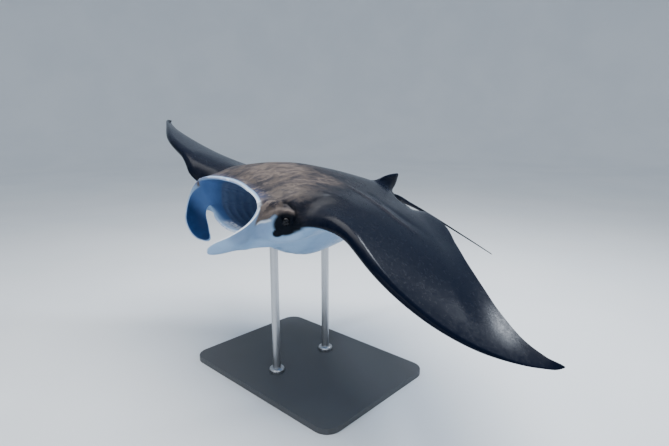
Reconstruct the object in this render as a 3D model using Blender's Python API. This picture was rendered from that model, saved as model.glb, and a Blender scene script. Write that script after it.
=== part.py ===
"""A life-size display model of a feeding reef manta ray on a stand, as faceted solids.

Metres, +Z up. The animal faces -Y with its left wing towards +X. Its skin is one
grid of lengthwise sections, from the right wing tip through the open mouth to the
left wing tip. The grid is worked out on a flat animal, then the wings are bent and
twisted, and the whole animal is banked over its stand.
"""

import math

import bmesh
import bpy
import numpy as np
from mathutils import Matrix, Vector

# Size and pose of the whole animal
HALF_SPAN = 1.5
GAP = 0.0003
BODY_HEIGHT = 0.98
BANK = math.radians(9.7)
NOSE_UP = math.radians(-9.6)
PIVOT_Y = 0.5
WING_LEVEL = 0.025

# Plan outline from the mouth corner round the head and wing to the tip: (across, along)
FRONT_EDGE = (
    (0.212, 0.045), (0.250, 0.052), (0.295, 0.078), (0.325, 0.115), (0.345, 0.150),
    (0.390, 0.175), (0.450, 0.186), (0.600, 0.212), (0.750, 0.242), (0.900, 0.296),
    (1.050, 0.369), (1.200, 0.461), (1.350, 0.573), (1.440, 0.652), (1.488, 0.706),
    (1.500, 0.740),
)
REAR_EDGE = (
    (0.00, 1.310), (0.07, 1.285), (0.15, 1.230), (0.30, 1.145), (0.45, 1.085),
    (0.60, 1.030), (0.75, 0.940), (0.90, 0.850), (1.05, 0.778), (1.20, 0.722),
    (1.35, 0.697), (1.44, 0.709), (1.488, 0.732), (1.50, 0.745),
)

# Heights of the back and belly over the midline, by distance from the upper lip
BACK = (
    (0.00, 0.042), (0.05, 0.055), (0.12, 0.094), (0.22, 0.138), (0.34, 0.170), (0.50, 0.184),
    (0.70, 0.178), (0.90, 0.163), (1.08, 0.143), (1.20, 0.117), (1.31, 0.080),
)
BELLY = (
    (0.00, -0.165), (0.05, -0.180), (0.12, -0.208), (0.22, -0.238), (0.34, -0.262), (0.44, -0.268),
    (0.56, -0.250), (0.68, -0.205), (0.80, -0.140), (0.95, -0.070), (1.10, -0.012), (1.22, 0.020),
    (1.31, 0.044),
)
BACK_WIDTH = 0.30
BELLY_WIDTH = 0.335

# Half thickness of the wing by distance from the midline
WING_HALF_THICKNESS = (
    (0.00, 0.036), (0.45, 0.036), (0.60, 0.031), (0.75, 0.026), (0.90, 0.021), (1.05, 0.017),
    (1.20, 0.012), (1.35, 0.008), (1.44, 0.005), (1.50, 0.003),
)
REAR_HALF_THICKNESS = 0.002
REAR_TAPER = 0.20
TAIL_ROOT_HALF_WIDTH = 0.02
TAIL_ROOT_BLEND = 0.12
BACK_CLOSING = 0.5

# Mouth
MOUTH_HALF_WIDTH = 0.19
MOUTH_DEPTH = 0.34
LIP_RADIUS = 0.009
UPPER_LIP_Y = 0.05
LOWER_LIP_Y = 0.005
LOWER_LIP_CORNER_Y = 0.055
LIP_CORNER_RISE = 0.045

# Wing bend: slope of the span line, twist and forward sweep, as polynomials of span. Reach
# is how much further forward the front part of a spread wing stands near its root.
BEND = {
    1: {
        "slope": (0.492, -3.148, 2.865), "twist": (-0.300, 0.909),
        "sweep": -0.273, "lift": 0.030, "reach": 0.0,
    },
    -1: {
        "slope": (-0.104, 0.806, -0.584), "twist": (-0.033, -0.515),
        "sweep": -0.248, "lift": -0.018, "reach": 0.28,
    },
}
REACH_START = (0.36, 0.50)
REACH_END = (0.85, 1.40)
BEND_START = 0.25
BEND_FULL = 0.52
TWIST_AXIS = 0.35

# Head lobes: points along the middle line, then the direction from the hind to the front
# edge, and half the width, at each point. Outwards is positive across.
LOBES = {
    1: {
        "line": (
            (0.203, 0.080, -0.075), (0.220, 0.005, -0.140), (0.205, -0.070, -0.188), (0.160, -0.140, -0.226),
        ),
        "across": ((0.00, -0.35, 0.93), (0.25, -0.50, 0.80), (0.45, -0.70, 0.56), (0.45, -0.70, 0.60)),
        "half_width": (0.112, 0.088, 0.066, 0.052),
    },
    -1: {
        "line": (
            (0.203, 0.070, -0.060), (0.224, 0.008, -0.125), (0.205, 0.003, -0.205), (0.140, 0.030, -0.288),
        ),
        "across": ((0.00, -0.35, 0.93), (0.30, -0.80, 0.45), (0.40, -0.88, 0.05), (0.35, -0.90, -0.10)),
        "half_width": (0.100, 0.080, 0.080, 0.074),
    },
}
LOBE_HALF_THICKNESS = 0.011
LOBE_HOLLOW = 0.22
LOBE_ROOT_DEPTH = 0.07
LOBE_ROOT_REACH = (-0.004, 0.035, 0.0)
LOBE_ROWS = 5
LOBE_COLUMNS = 16

# Tail, fins and eyes on the flat animal, then the stand on the floor
TAIL_LINE = (
    (0.000, 1.240, 0.062), (0.004, 1.340, 0.054), (0.020, 1.520, 0.018), (0.055, 1.760, -0.042),
    (0.115, 2.020, -0.112), (0.210, 2.280, -0.185), (0.300, 2.480, -0.240),
)
TAIL_RADIUS = ((0.0, 0.024), (0.08, 0.019), (0.2, 0.012), (0.5, 0.007), (1.0, 0.0035))
TAIL_SIDES = 8
TAIL_POINTS = 26
TAIL_CUTS = (1.62, 2.02)

DORSAL_BASE = ((0.0, 1.075, 0.110), (0.0, 1.255, 0.075))
DORSAL_TIP = ((0.0, 1.268, 0.206), (0.0, 1.305, 0.196))
DORSAL_HALF_THICKNESS = 0.013

PELVIC_BASE = ((0.045, 1.190, 0.045), (0.045, 1.290, 0.050))
PELVIC_TIP = ((0.125, 1.330, 0.038), (0.095, 1.365, 0.042))
PELVIC_HALF_THICKNESS = 0.010
FIN_ROWS = 7
FIN_SIDES = 16

EYE_PLACE = (0.318, 0.122, -0.034)
EYE_RADIUS = 0.026

BASE_SIZE = (1.10, 0.80, 0.030)
BASE_CORNER = 0.08
BASE_PLACE = (0.0, 0.02)
ROD_RADIUS = 0.022
ROD_SIDES = 24
ROD_ENDS = (("front", (0.0, 0.36, -0.215)), ("rear", (0.0, 0.72, -0.120)))

# Where the whole animal is parted: planes across and along it
HEAD_END = 0.42
JAW_LEVEL = -0.062
WING_ROOT = 0.378
WING_BREAK = 0.88
FAR = 4.0

# Grid: stations on each side of the midline, and points of each section
MOUTH_STATIONS = 5
LOBE_STATIONS = 2
HEAD_STATIONS = 5
WING_STATIONS = 15
BACK_POINTS = 12
FRONT_POINTS = 16
RIM_POINTS = 2


def smooth(start, end, value):
    """Rises smoothly from 0 at start to 1 at end."""
    t = np.clip((value - start) / (end - start), 0.0, 1.0)
    return t * t * (3.0 - 2.0 * t)


def curve(knots, values):
    """Smooth curve through (place, height) knots, with no overshoot between them."""
    x, y = np.asarray(knots, float).T
    x_step = np.diff(x)
    slope = np.diff(y) / x_step
    inner = np.where(
        slope[1:] * slope[:-1] > 0,
        2 * slope[1:] * slope[:-1] / np.where(slope[1:] + slope[:-1] == 0, 1, slope[1:] + slope[:-1]),
        0.0,
    )
    tangent = np.concatenate([slope[:1], inner, slope[-1:]])
    values = np.clip(values, x[0], x[-1])
    i = np.clip(np.searchsorted(x, values, side="right") - 1, 0, len(x) - 2)
    t = (values - x[i]) / x_step[i]
    return (
        (1 + 2 * t) * (1 - t) ** 2 * y[i]
        + t * (1 - t) ** 2 * x_step[i] * tangent[i]
        + t * t * (3 - 2 * t) * y[i + 1]
        + t * t * (t - 1) * x_step[i] * tangent[i + 1]
    )


def along(points, t):
    """Smooth path through points; t runs from 0 to 1 by their spacing."""
    points = np.asarray(points, float)
    length = np.concatenate([[0.0], np.cumsum(np.linalg.norm(np.diff(points, axis=0), axis=1))])
    length /= length[-1]
    return np.stack([curve(np.column_stack([length, column]), t) for column in points.T], axis=-1)


def hump(x, width, power):
    return np.exp(-np.abs(x / width) ** power)


def chord_fullness(x, y):
    """1 over the front third of the wing, falling to 0 at its rear edge."""
    front = curve(FRONT_EDGE, np.maximum(x, FRONT_EDGE[0][0]))
    rear = curve(REAR_EDGE, x)
    c = np.clip((y - front) / np.maximum(rear - front, 1e-6), 0.0, 1.0)
    return 1.0 - np.clip((c - 0.3) / 0.7, 0.0, 1.0) ** 1.7


def wing_half_thickness(x, y):
    full = chord_fullness(x, y)
    return REAR_HALF_THICKNESS + (curve(WING_HALF_THICKNESS, x) - REAR_HALF_THICKNESS) * full


def full_back(x, y):
    """Height of the back before its rear edge is thinned."""
    rise = curve(BACK, y) - WING_LEVEL - wing_half_thickness(0 * x, y)
    return WING_LEVEL + wing_half_thickness(x, y) + rise * hump(x, BACK_WIDTH, 2.2)


def full_belly(x, y):
    """Height of the underside before its rear edge is thinned."""
    drop = curve(BELLY, y) - WING_LEVEL + wing_half_thickness(0 * x, y)
    corner = LIP_CORNER_RISE * hump(x - MOUTH_HALF_WIDTH, 0.07, 2) * hump(y - LOWER_LIP_CORNER_Y, 0.08, 2)
    return WING_LEVEL - wing_half_thickness(x, y) + drop * hump(x, BELLY_WIDTH, 4.5) + corner


def rear_thinning(x, y):
    """How much the back and the underside close on each other: 1 at the rear edge, 0 at the tail root."""
    behind = 1 - smooth(0.0, REAR_TAPER, curve(REAR_EDGE, x) - y)
    beside = smooth(TAIL_ROOT_HALF_WIDTH, TAIL_ROOT_BLEND, x)
    spare = np.maximum(full_back(x, y) - full_belly(x, y) - 2 * REAR_HALF_THICKNESS, 0.0)
    return spare * behind * beside


def back_height(x, y):
    """Height of the back of the flat animal."""
    x = np.abs(x)
    return full_back(x, y) - BACK_CLOSING * rear_thinning(x, y)


def belly_height(x, y):
    """Height of the underside of the flat animal."""
    x = np.abs(x)
    return full_belly(x, y) + (1 - BACK_CLOSING) * rear_thinning(x, y)


def front_path_steps():
    """Turns round the upper lip, through the mouth and round the lower lip, as fractions."""
    rim = np.linspace(0.0, 1.0, RIM_POINTS + 1)
    hollow = np.linspace(0.0, 1.0, FRONT_POINTS - 2 * RIM_POINTS + 1)
    return rim, hollow


def mouth_section(angle):
    """Front path of a section through the mouth; angle is 0 at the middle, 90 degrees at the corner."""
    x = MOUTH_HALF_WIDTH * math.sin(angle)
    depth = MOUTH_DEPTH * math.cos(angle)
    r = LIP_RADIUS
    upper_y = UPPER_LIP_Y
    lower_y = LOWER_LIP_Y + (LOWER_LIP_CORNER_Y - LOWER_LIP_Y) * math.sin(angle) ** 4
    upper_z = float(back_height(np.array(x), np.array(upper_y + r)))
    lower_z = float(belly_height(np.array(x), np.array(lower_y + r)))
    rim, hollow = front_path_steps()
    upper = np.stack([upper_y + r * (1 - np.sin(math.pi * rim)), upper_z - r * (1 - np.cos(math.pi * rim))])
    turn = math.pi * hollow
    top = upper_z - 2 * r
    bottom = lower_z + 2 * r
    lean = (1 - np.cos(turn)) / 2
    inside = np.stack([
        upper_y + (lower_y - upper_y) * lean + r + depth * np.sin(turn) ** 0.8,
        top + (bottom - top) * lean,
    ])
    lower = np.stack([lower_y + r * (1 - np.sin(math.pi * rim)), bottom - r * (1 - np.cos(math.pi * rim))])
    y, z = np.concatenate([upper, inside[:, 1:], lower[:, 1:]], axis=1)
    return np.stack([np.full_like(y, x), y, z], axis=-1)


def nose(distance, radius):
    """Rounds a front edge: 0 at the edge, 1 from one radius behind it."""
    t = 1 - np.clip(distance / radius, 0.0, 1.0)
    return np.sqrt(np.maximum(1 - t ** 2.2, 0.0))


def edge_height(x):
    """Height of the foremost line round the head side and the wing."""
    return -0.065 + (WING_LEVEL + 0.065) * smooth(0.29, 0.41, x)


def edge_radius(x):
    radius = 0.020 + 0.035 * smooth(0.20, 0.28, x)
    return radius - 0.035 * smooth(0.36, 1.0, x) - 0.014 * smooth(1.0, 1.5, x)


def skin_points(front, rear, c, upper):
    """Points of the back or belly between a front edge point and a rear edge point."""
    x = front[0] + c * (rear[0] - front[0])
    y = front[1] + c * (rear[1] - front[1])
    distance = c * math.hypot(rear[0] - front[0], rear[1] - front[1])
    height = back_height(x, y) if upper else belly_height(x, y)
    round_off = nose(distance, edge_radius(front[0]))
    z = edge_height(front[0]) * (1 - round_off) + height * round_off
    return np.stack([x, y, z], axis=-1)


def share(front_x, length, upper):
    """Part of a section, from its front edge, that the front points cover."""
    reach = edge_radius(front_x)
    if not upper:
        reach = reach + LOBE_ROOT_DEPTH * (1 - smooth(0.20, 0.28, front_x))
    near = reach / length
    return near + (0.32 - near) * smooth(0.36, 0.75, front_x)


def side_section(front, rear):
    """Front path of a section through the head side or a wing."""
    length = math.hypot(rear[0] - front[0], rear[1] - front[1])
    turn = np.linspace(0.0, math.pi, FRONT_POINTS + 1)
    near = 1 - np.sin(turn)
    upper = skin_points(front, rear, share(front[0], length, True) * near, True)
    lower = skin_points(front, rear, share(front[0], length, False) * near, False)
    return np.where((turn <= math.pi / 2)[:, None], upper, lower)


def lobe_plate(side):
    """A head lobe as a bent plate: rows from the inner face round the edge to the outer, columns across it."""
    lobe = LOBES[side]
    angle = np.linspace(0.0, math.pi, 2 * LOBE_ROWS + 1)[:, None]
    turn = np.linspace(0.0, math.pi, LOBE_COLUMNS + 1)
    turn = (turn - 0.32 * np.sin(2 * turn))[None, :]
    power = 2 / 2.6
    b = np.sign(np.cos(turn)) * np.abs(np.cos(turn)) ** power + 0 * angle
    t = np.sin(angle) * np.abs(np.sin(turn)) ** power
    steps = np.linspace(0.0, 1.0, len(lobe["half_width"]))
    width = curve(tuple(zip(steps, lobe["half_width"])), t)[..., None]
    across = along(lobe["across"], t)
    across /= np.linalg.norm(across, axis=-1, keepdims=True)
    ahead = along(lobe["line"], np.minimum(t + 0.02, 1.0)) - along(lobe["line"], np.maximum(t - 0.02, 0.0))
    inward = np.cross(ahead, across)
    inward /= np.linalg.norm(inward, axis=-1, keepdims=True)
    face = np.sign(np.cos(angle)) * np.abs(np.cos(angle)) ** 0.6
    thick = LOBE_HALF_THICKNESS * face * (1 - 0.3 * t)
    hollow = LOBE_HOLLOW * (b ** 2 - 0.4) * width[..., 0] * np.sin(0.8 * math.pi * t)
    points = along(lobe["line"], t) + across * b[..., None] * width + inward * (thick + hollow)[..., None]
    into_head = np.array(LOBE_ROOT_REACH)
    return np.concatenate([points[:1] + into_head, points, points[-1:] + into_head]) * (side, 1, 1)


def stations():
    """Kind, front place and rear place of each section from the midline to a wing tip."""
    edge = np.asarray(FRONT_EDGE, float)
    head_end = 5
    head = along(edge[:head_end], np.linspace(0.0, 1.0, HEAD_STATIONS + 1))
    spread = np.linspace(0.0, 1.0, WING_STATIONS + 1)
    wing = along(edge[head_end - 1:], spread ** 0.9)
    fronts = np.concatenate([head, wing[1:]])
    count = MOUTH_STATIONS + LOBE_STATIONS + len(fronts)
    corner = MOUTH_STATIONS + LOBE_STATIONS
    marks = (0, MOUTH_STATIONS, corner, corner + HEAD_STATIONS, count)
    rear_x = curve(tuple(zip(marks, (0.0, 0.09, 0.20, 0.33, 1.35))), np.arange(count))
    settled = smooth(0.40, 0.80, fronts[:, 0])
    rear_x[-len(fronts):] += (fronts[:, 0] - rear_x[-len(fronts):]) * settled
    rear = np.column_stack([rear_x, curve(REAR_EDGE, rear_x)])
    return fronts, rear


def half_skin():
    """Sections of one side of the flat animal: an array of stations, section points and x, y, z."""
    fronts, rears = stations()
    sections = []
    corner_inner = mouth_section(math.pi / 2)
    first_side = MOUTH_STATIONS + LOBE_STATIONS
    corner_outer = side_section(fronts[0], rears[first_side])
    for index, rear in enumerate(rears):
        if index <= MOUTH_STATIONS:
            path = mouth_section(math.pi / 2 * index / MOUTH_STATIONS)
        elif index < first_side:
            path = corner_inner + (corner_outer - corner_inner) * (index - MOUTH_STATIONS) / LOBE_STATIONS
        else:
            path = side_section(fronts[index - first_side], rear)
        fade = np.linspace(0.0, 1.0, BACK_POINTS + 1)
        halves = []
        for upper, start in ((True, path[0]), (False, path[-1])):
            if index < first_side:
                x = start[0] + (rear[0] - start[0]) * fade
                y = start[1] + (rear[1] - start[1]) * fade
                z = back_height(x, y) if upper else belly_height(x, y)
                line = np.stack([x, y, z], axis=-1)
                line[0] = start
            else:
                front = fronts[index - first_side]
                begin = share(front[0], math.hypot(*(rear - front)), upper)
                line = skin_points(front, rear, begin + (1 - begin) * fade, upper)
            halves.append(line)
        sections.append(np.concatenate([halves[0][:0:-1], path, halves[1][1:]]))
    return np.array(sections)


def bend_wing(points, side):
    """Bends, twists and sweeps one side of the flat animal."""
    pose = BEND[side]
    across = np.linspace(0.0, HALF_SPAN, 301)
    middle = (across[1:] + across[:-1]) / 2
    step = across[1] - across[0]

    def slope(s):
        q = s / HALF_SPAN
        t0, t1, t2 = pose["slope"]
        return (t0 + t1 * q + t2 * q * q) * smooth(BEND_START, BEND_FULL, s)

    line_x = np.concatenate([[0.0], np.cumsum(np.cos(slope(middle)))]) * step
    line_z = np.concatenate([[0.0], np.cumsum(np.sin(slope(middle)))]) * step
    s = np.clip(points[..., 0], 0.0, HALF_SPAN)
    q = s / HALF_SPAN
    angle = slope(s)
    p1, p2 = pose["twist"]
    twist = (p1 * q + p2 * q * q) * smooth(BEND_START, BEND_FULL, s)
    front = curve(FRONT_EDGE, np.maximum(s, FRONT_EDGE[0][0]))
    axis = front + TWIST_AXIS * (curve(REAR_EDGE, s) - front)
    y = points[..., 1] - axis
    reach = pose["reach"] * smooth(*REACH_START, s) * (1 - smooth(*REACH_END, s))
    y = np.where(y < 0, y * (1 + reach), y)
    z = points[..., 2] - WING_LEVEL
    turned_y = axis + y * np.cos(twist) - z * np.sin(twist)
    turned_z = y * np.sin(twist) + z * np.cos(twist)
    x = np.interp(s, across, line_x) + (points[..., 0] - s) - np.sin(angle) * turned_z
    height = WING_LEVEL + np.interp(s, across, line_z) + np.cos(angle) * turned_z
    height = height + pose["lift"] * smooth(0.10, 0.50, s)
    return np.stack([side * x, turned_y + pose["sweep"] * q * q * smooth(0.3, 0.9, s), height], axis=-1)


def clear_scene():
    for item in list(bpy.data.objects):
        bpy.data.objects.remove(item, do_unlink=True)


def paint(name, colour, roughness, metallic=0.0):
    """A plain finish."""
    material = bpy.data.materials.new(name)
    material.use_nodes = True
    shader = material.node_tree.nodes["Principled BSDF"]
    shader.inputs["Base Color"].default_value = (*colour, 1.0)
    shader.inputs["Roughness"].default_value = roughness
    shader.inputs["Metallic"].default_value = metallic
    return material


def add_mesh(name, points, faces, material, parent=None):
    """An object of triangles whose faces all point out."""
    mesh = bpy.data.meshes.new(name)
    mesh.from_pydata([tuple(map(float, point)) for point in points], [], faces)
    shape = bmesh.new()
    shape.from_mesh(mesh)
    bmesh.ops.remove_doubles(shape, verts=shape.verts, dist=1e-6)
    bmesh.ops.triangulate(shape, faces=shape.faces)
    bmesh.ops.recalc_face_normals(shape, faces=shape.faces)
    shape.to_mesh(mesh)
    shape.free()
    mesh.materials.append(material)
    mesh.shade_smooth()
    mesh.set_sharp_from_angle(angle=math.radians(40))
    item = bpy.data.objects.new(name, mesh)
    bpy.context.scene.collection.objects.link(item)
    item.parent = parent
    return item


def hide(item):
    item.hide_render = True
    item.display_type = "WIRE"
    return item


def combine(item, operation, other):
    modifier = item.modifiers.new(operation.title(), "BOOLEAN")
    modifier.operation = operation
    modifier.solver = "EXACT"
    modifier.object = other


def grid_faces(rows, columns, wrap_columns=False):
    """Quads of a grid whose point (i, j) is number i * columns + j."""
    last = columns if wrap_columns else columns - 1
    number = np.arange(rows * columns).reshape(rows, columns)
    after = np.roll(number, -1, axis=1)
    quads = np.stack([number[:-1], after[:-1], after[1:], number[1:]], axis=-1)
    return quads[:, :last].reshape(-1, 4).tolist()


def loop_cap(first, count):
    """Quads that close a flat loop by joining its two halves."""
    faces = []
    low, high = 0, count - 1
    while high - low > 2:
        faces.append((first + low, first + low + 1, first + high - 1, first + high))
        low, high = low + 1, high - 1
    faces.append(tuple(first + k for k in range(low, high + 1)))
    return faces


def whole_body(material, pose):
    """The whole skin without its lobes, as a hidden solid."""
    half = half_skin()
    points = np.concatenate([bend_wing(half, -1)[:0:-1], bend_wing(half, 1)])
    count, section = points.shape[:2]
    faces = grid_faces(count, section, True)
    faces += loop_cap(0, section)
    faces += loop_cap((count - 1) * section, section)
    return hide(add_mesh("whole_body", points.reshape(-1, 3), faces, material, pose))


def lobes(clearance, material, pose):
    for side, name in ((1, "left"), (-1, "right")):
        points = lobe_plate(side)
        rows, columns = points.shape[:2]
        last = (rows - 1) * columns
        faces = grid_faces(rows, columns)
        faces += [(j, j + 1, last + j + 1, last + j) for j in range(columns - 1)]
        faces += [[row * columns + end for row in range(rows)] for end in (0, columns - 1)]
        lobe = add_mesh("cephalic_lobe_" + name, points.reshape(-1, 3), faces, material, pose)
        combine(lobe, "DIFFERENCE", clearance)


def clearance_of(whole):
    """A hidden copy of the body, one gap larger all over, which its neighbours are cut by."""
    copy = hide(bpy.data.objects.new("body_clearance", whole.data.copy()))
    bpy.context.scene.collection.objects.link(copy)
    copy.parent = whole.parent
    places = [vertex.co + vertex.normal * GAP * 1.6 for vertex in copy.data.vertices]
    for vertex, place in zip(copy.data.vertices, places):
        vertex.co = place
    return copy


def box(name, low, high, material, parent=None):
    points = [(x, y, z) for x in (low[0], high[0]) for y in (low[1], high[1]) for z in (low[2], high[2])]
    faces = [(0, 1, 3, 2), (4, 6, 7, 5), (0, 4, 5, 1), (2, 3, 7, 6), (0, 2, 6, 4), (1, 5, 7, 3)]
    return add_mesh(name, points, faces, material, parent)


def part_body(whole, material, pose):
    """Parts the whole body into head, jaw, trunk and wings, one gap from each other."""
    half = GAP / 2
    regions = {
        "head": ((-WING_ROOT + half, -FAR, JAW_LEVEL + half), (WING_ROOT - half, HEAD_END - half, FAR)),
        "lower_jaw": ((-WING_ROOT + half, -FAR, -FAR), (WING_ROOT - half, HEAD_END - half, JAW_LEVEL - half)),
        "trunk": ((-WING_ROOT + half, HEAD_END + half, -FAR), (WING_ROOT - half, FAR, FAR)),
        "pectoral_fin_left_inner": ((WING_ROOT + half, -FAR, -FAR), (WING_BREAK - half, FAR, FAR)),
        "pectoral_fin_left_outer": ((WING_BREAK + half, -FAR, -FAR), (FAR, FAR, FAR)),
        "pectoral_fin_right_inner": ((-WING_BREAK + half, -FAR, -FAR), (-WING_ROOT - half, FAR, FAR)),
        "pectoral_fin_right_outer": ((-FAR, -FAR, -FAR), (-WING_BREAK - half, FAR, FAR)),
    }
    for name, (low, high) in regions.items():
        item = bpy.data.objects.new(name, whole.data.copy())
        bpy.context.scene.collection.objects.link(item)
        item.parent = pose
        combine(item, "INTERSECT", hide(box("region_" + name, low, high, material, pose)))


def tail(clearance, material, pose):
    """The whip tail, in three lengths."""
    t = np.linspace(0.0, 1.0, TAIL_POINTS) ** 1.15
    line = along(TAIL_LINE, t)
    radius = curve(TAIL_RADIUS, t)
    ahead = np.gradient(line, axis=0)
    ahead /= np.linalg.norm(ahead, axis=1)[:, None]
    side = np.cross(ahead, (0.0, 0.0, 1.0))
    side /= np.linalg.norm(side, axis=1)[:, None]
    up = np.cross(side, ahead)
    turn = 2 * math.pi * np.arange(TAIL_SIDES) / TAIL_SIDES
    ring = side[:, None] * np.cos(turn)[None, :, None] + up[:, None] * np.sin(turn)[None, :, None]
    points = (line[:, None] + radius[:, None, None] * ring).reshape(-1, 3)
    faces = grid_faces(TAIL_POINTS, TAIL_SIDES, True)
    faces.append(list(range(TAIL_SIDES)))
    faces.append([(TAIL_POINTS - 1) * TAIL_SIDES + k for k in range(TAIL_SIDES)])
    marks = (-FAR, *TAIL_CUTS, FAR)
    for name, start, end in zip(("tail_base", "tail_middle", "tail_tip"), marks, marks[1:]):
        item = add_mesh(name, points, faces, material, pose)
        low, high = (-FAR, start + GAP / 2, -FAR), (FAR, end - GAP / 2, FAR)
        combine(item, "INTERSECT", hide(box("region_" + name, low, high, material, pose)))
        if name == "tail_base":
            combine(item, "DIFFERENCE", clearance)


def small_fin(name, base, tip, half_thickness, hollow, material, pose):
    """A thin fin between a base line and a tip line, each running from front to rear."""
    turn = 2 * math.pi * np.arange(FIN_SIDES) / FIN_SIDES
    chord = (1 - np.cos(turn)) / 2
    base_front, base_rear, tip_front, tip_rear = (np.asarray(p, float) for p in (*base, *tip))
    normal = np.cross(base_rear - base_front, tip_front - base_front)
    normal /= np.linalg.norm(normal)
    rows = []
    for rise in np.linspace(0.0, 1.0, FIN_ROWS):
        front = base_front + (tip_front - base_front) * rise
        rear = base_rear + (tip_rear - base_rear) * rise
        rear = rear + (front - rear) * hollow * math.sin(math.pi * rise)
        thick = half_thickness * (1 - 0.72 * rise)
        bulge = thick * np.sin(turn) * (1.25 - chord)
        rows.append(front + (rear - front) * chord[:, None] + normal * bulge[:, None])
    points = np.concatenate(rows)
    faces = grid_faces(FIN_ROWS, FIN_SIDES, True)
    faces += [list(range(FIN_SIDES)), list(range(len(points) - FIN_SIDES, len(points)))]
    return add_mesh(name, points, faces, material, pose)


def fins(clearance, material, pose):
    dorsal = small_fin("dorsal_fin", DORSAL_BASE, DORSAL_TIP, DORSAL_HALF_THICKNESS, 0.25, material, pose)
    combine(dorsal, "DIFFERENCE", clearance)
    for side, name in ((1, "left"), (-1, "right")):
        base, tip = (
            [(side * x, y, z) for x, y, z in line] for line in (PELVIC_BASE, PELVIC_TIP)
        )
        pelvic = small_fin("pelvic_fin_" + name, base, tip, PELVIC_HALF_THICKNESS, 0.1, material, pose)
        combine(pelvic, "DIFFERENCE", clearance)


def eyes(clearance, material, pose):
    for side, name in ((1, "left"), (-1, "right")):
        mesh = bpy.data.meshes.new("eye_" + name)
        shape = bmesh.new()
        bmesh.ops.create_uvsphere(shape, u_segments=16, v_segments=10, radius=EYE_RADIUS)
        shape.to_mesh(mesh)
        shape.free()
        mesh.materials.append(material)
        mesh.shade_smooth()
        eye = bpy.data.objects.new("eye_" + name, mesh)
        bpy.context.scene.collection.objects.link(eye)
        eye.parent = pose
        eye.location = (side * EYE_PLACE[0], EYE_PLACE[1], EYE_PLACE[2])
        combine(eye, "DIFFERENCE", clearance)


def upright_rod(name, radius, low, high, place, material):
    """A round rod that stands over a place on the floor."""
    mesh = bpy.data.meshes.new(name)
    shape = bmesh.new()
    bmesh.ops.create_cone(
        shape, cap_ends=True, segments=ROD_SIDES, radius1=radius, radius2=radius, depth=high - low
    )
    shape.to_mesh(mesh)
    shape.free()
    mesh.materials.append(material)
    mesh.shade_smooth()
    mesh.set_sharp_from_angle(angle=math.radians(40))
    item = bpy.data.objects.new(name, mesh)
    bpy.context.scene.collection.objects.link(item)
    item.location = (place[0], place[1], (low + high) / 2)
    return item


def stand(clearance, material, rod_finish, pose):
    """A flat base with rounded corners and two rods that end just inside the belly."""
    width, depth, height = BASE_SIZE
    outline = []
    for corner in range(4):
        middle_x = (width / 2 - BASE_CORNER) * (1 if corner in (0, 3) else -1) + BASE_PLACE[0]
        middle_y = (depth / 2 - BASE_CORNER) * (1 if corner in (0, 1) else -1) + BASE_PLACE[1]
        for step in range(7):
            turn = math.pi / 2 * (corner + step / 6)
            outline.append((middle_x + BASE_CORNER * math.cos(turn), middle_y + BASE_CORNER * math.sin(turn)))
    count = len(outline)
    points = [(x, y, z) for z in (0.0, height) for x, y in outline]
    faces = [(k, (k + 1) % count, count + (k + 1) % count, count + k) for k in range(count)]
    faces += [list(range(count)), list(range(count, 2 * count))]
    add_mesh("stand_base", points, faces, material)
    for name, end in ROD_ENDS:
        top = pose.matrix_world @ Vector(end)
        rod = upright_rod("stand_rod_" + name, ROD_RADIUS, height + GAP, top.z, top, rod_finish)
        combine(rod, "DIFFERENCE", clearance)


def build():
    clear_scene()
    pose = bpy.data.objects.new("pose", None)
    bpy.context.scene.collection.objects.link(pose)
    turn = Matrix.Rotation(NOSE_UP, 4, "X") @ Matrix.Rotation(BANK, 4, "Y")
    pose.matrix_world = Matrix.Translation((0, 0, BODY_HEIGHT)) @ turn @ Matrix.Translation((0, -PIVOT_Y, 0))
    bpy.context.view_layer.update()
    skin = paint("skin", (0.045, 0.055, 0.075), 0.45)
    eye = paint("eye", (0.01, 0.01, 0.012), 0.12)
    base_finish = paint("stand_base", (0.06, 0.06, 0.065), 0.55)
    rod_finish = paint("stand_rod", (0.55, 0.56, 0.58), 0.3, 1.0)
    whole = whole_body(skin, pose)
    clearance = clearance_of(whole)
    part_body(whole, skin, pose)
    lobes(clearance, skin, pose)
    tail(clearance, skin, pose)
    fins(clearance, skin, pose)
    eyes(clearance, eye, pose)
    stand(clearance, base_finish, rod_finish, pose)


build()
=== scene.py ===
"""Looks of a life-size reef manta ray that feeds with its mouth open, on a display stand.

The animal is one closed skin. It is worked out as a grid of lengthwise sections on a
flat animal, column by column from one wing tip through the open mouth to the other.
Each section runs from the rear edge over the back, round the upper lip, through the
mouth or round a head lobe or a front edge, and along the belly to the rear edge again.
The wings are then bent and twisted, and the whole animal is banked over its stand.
"""

from __future__ import annotations

import logging
import math
from dataclasses import dataclass, field
from enum import Enum

import bpy
import numpy as np
from mathutils import Matrix, Vector


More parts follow.
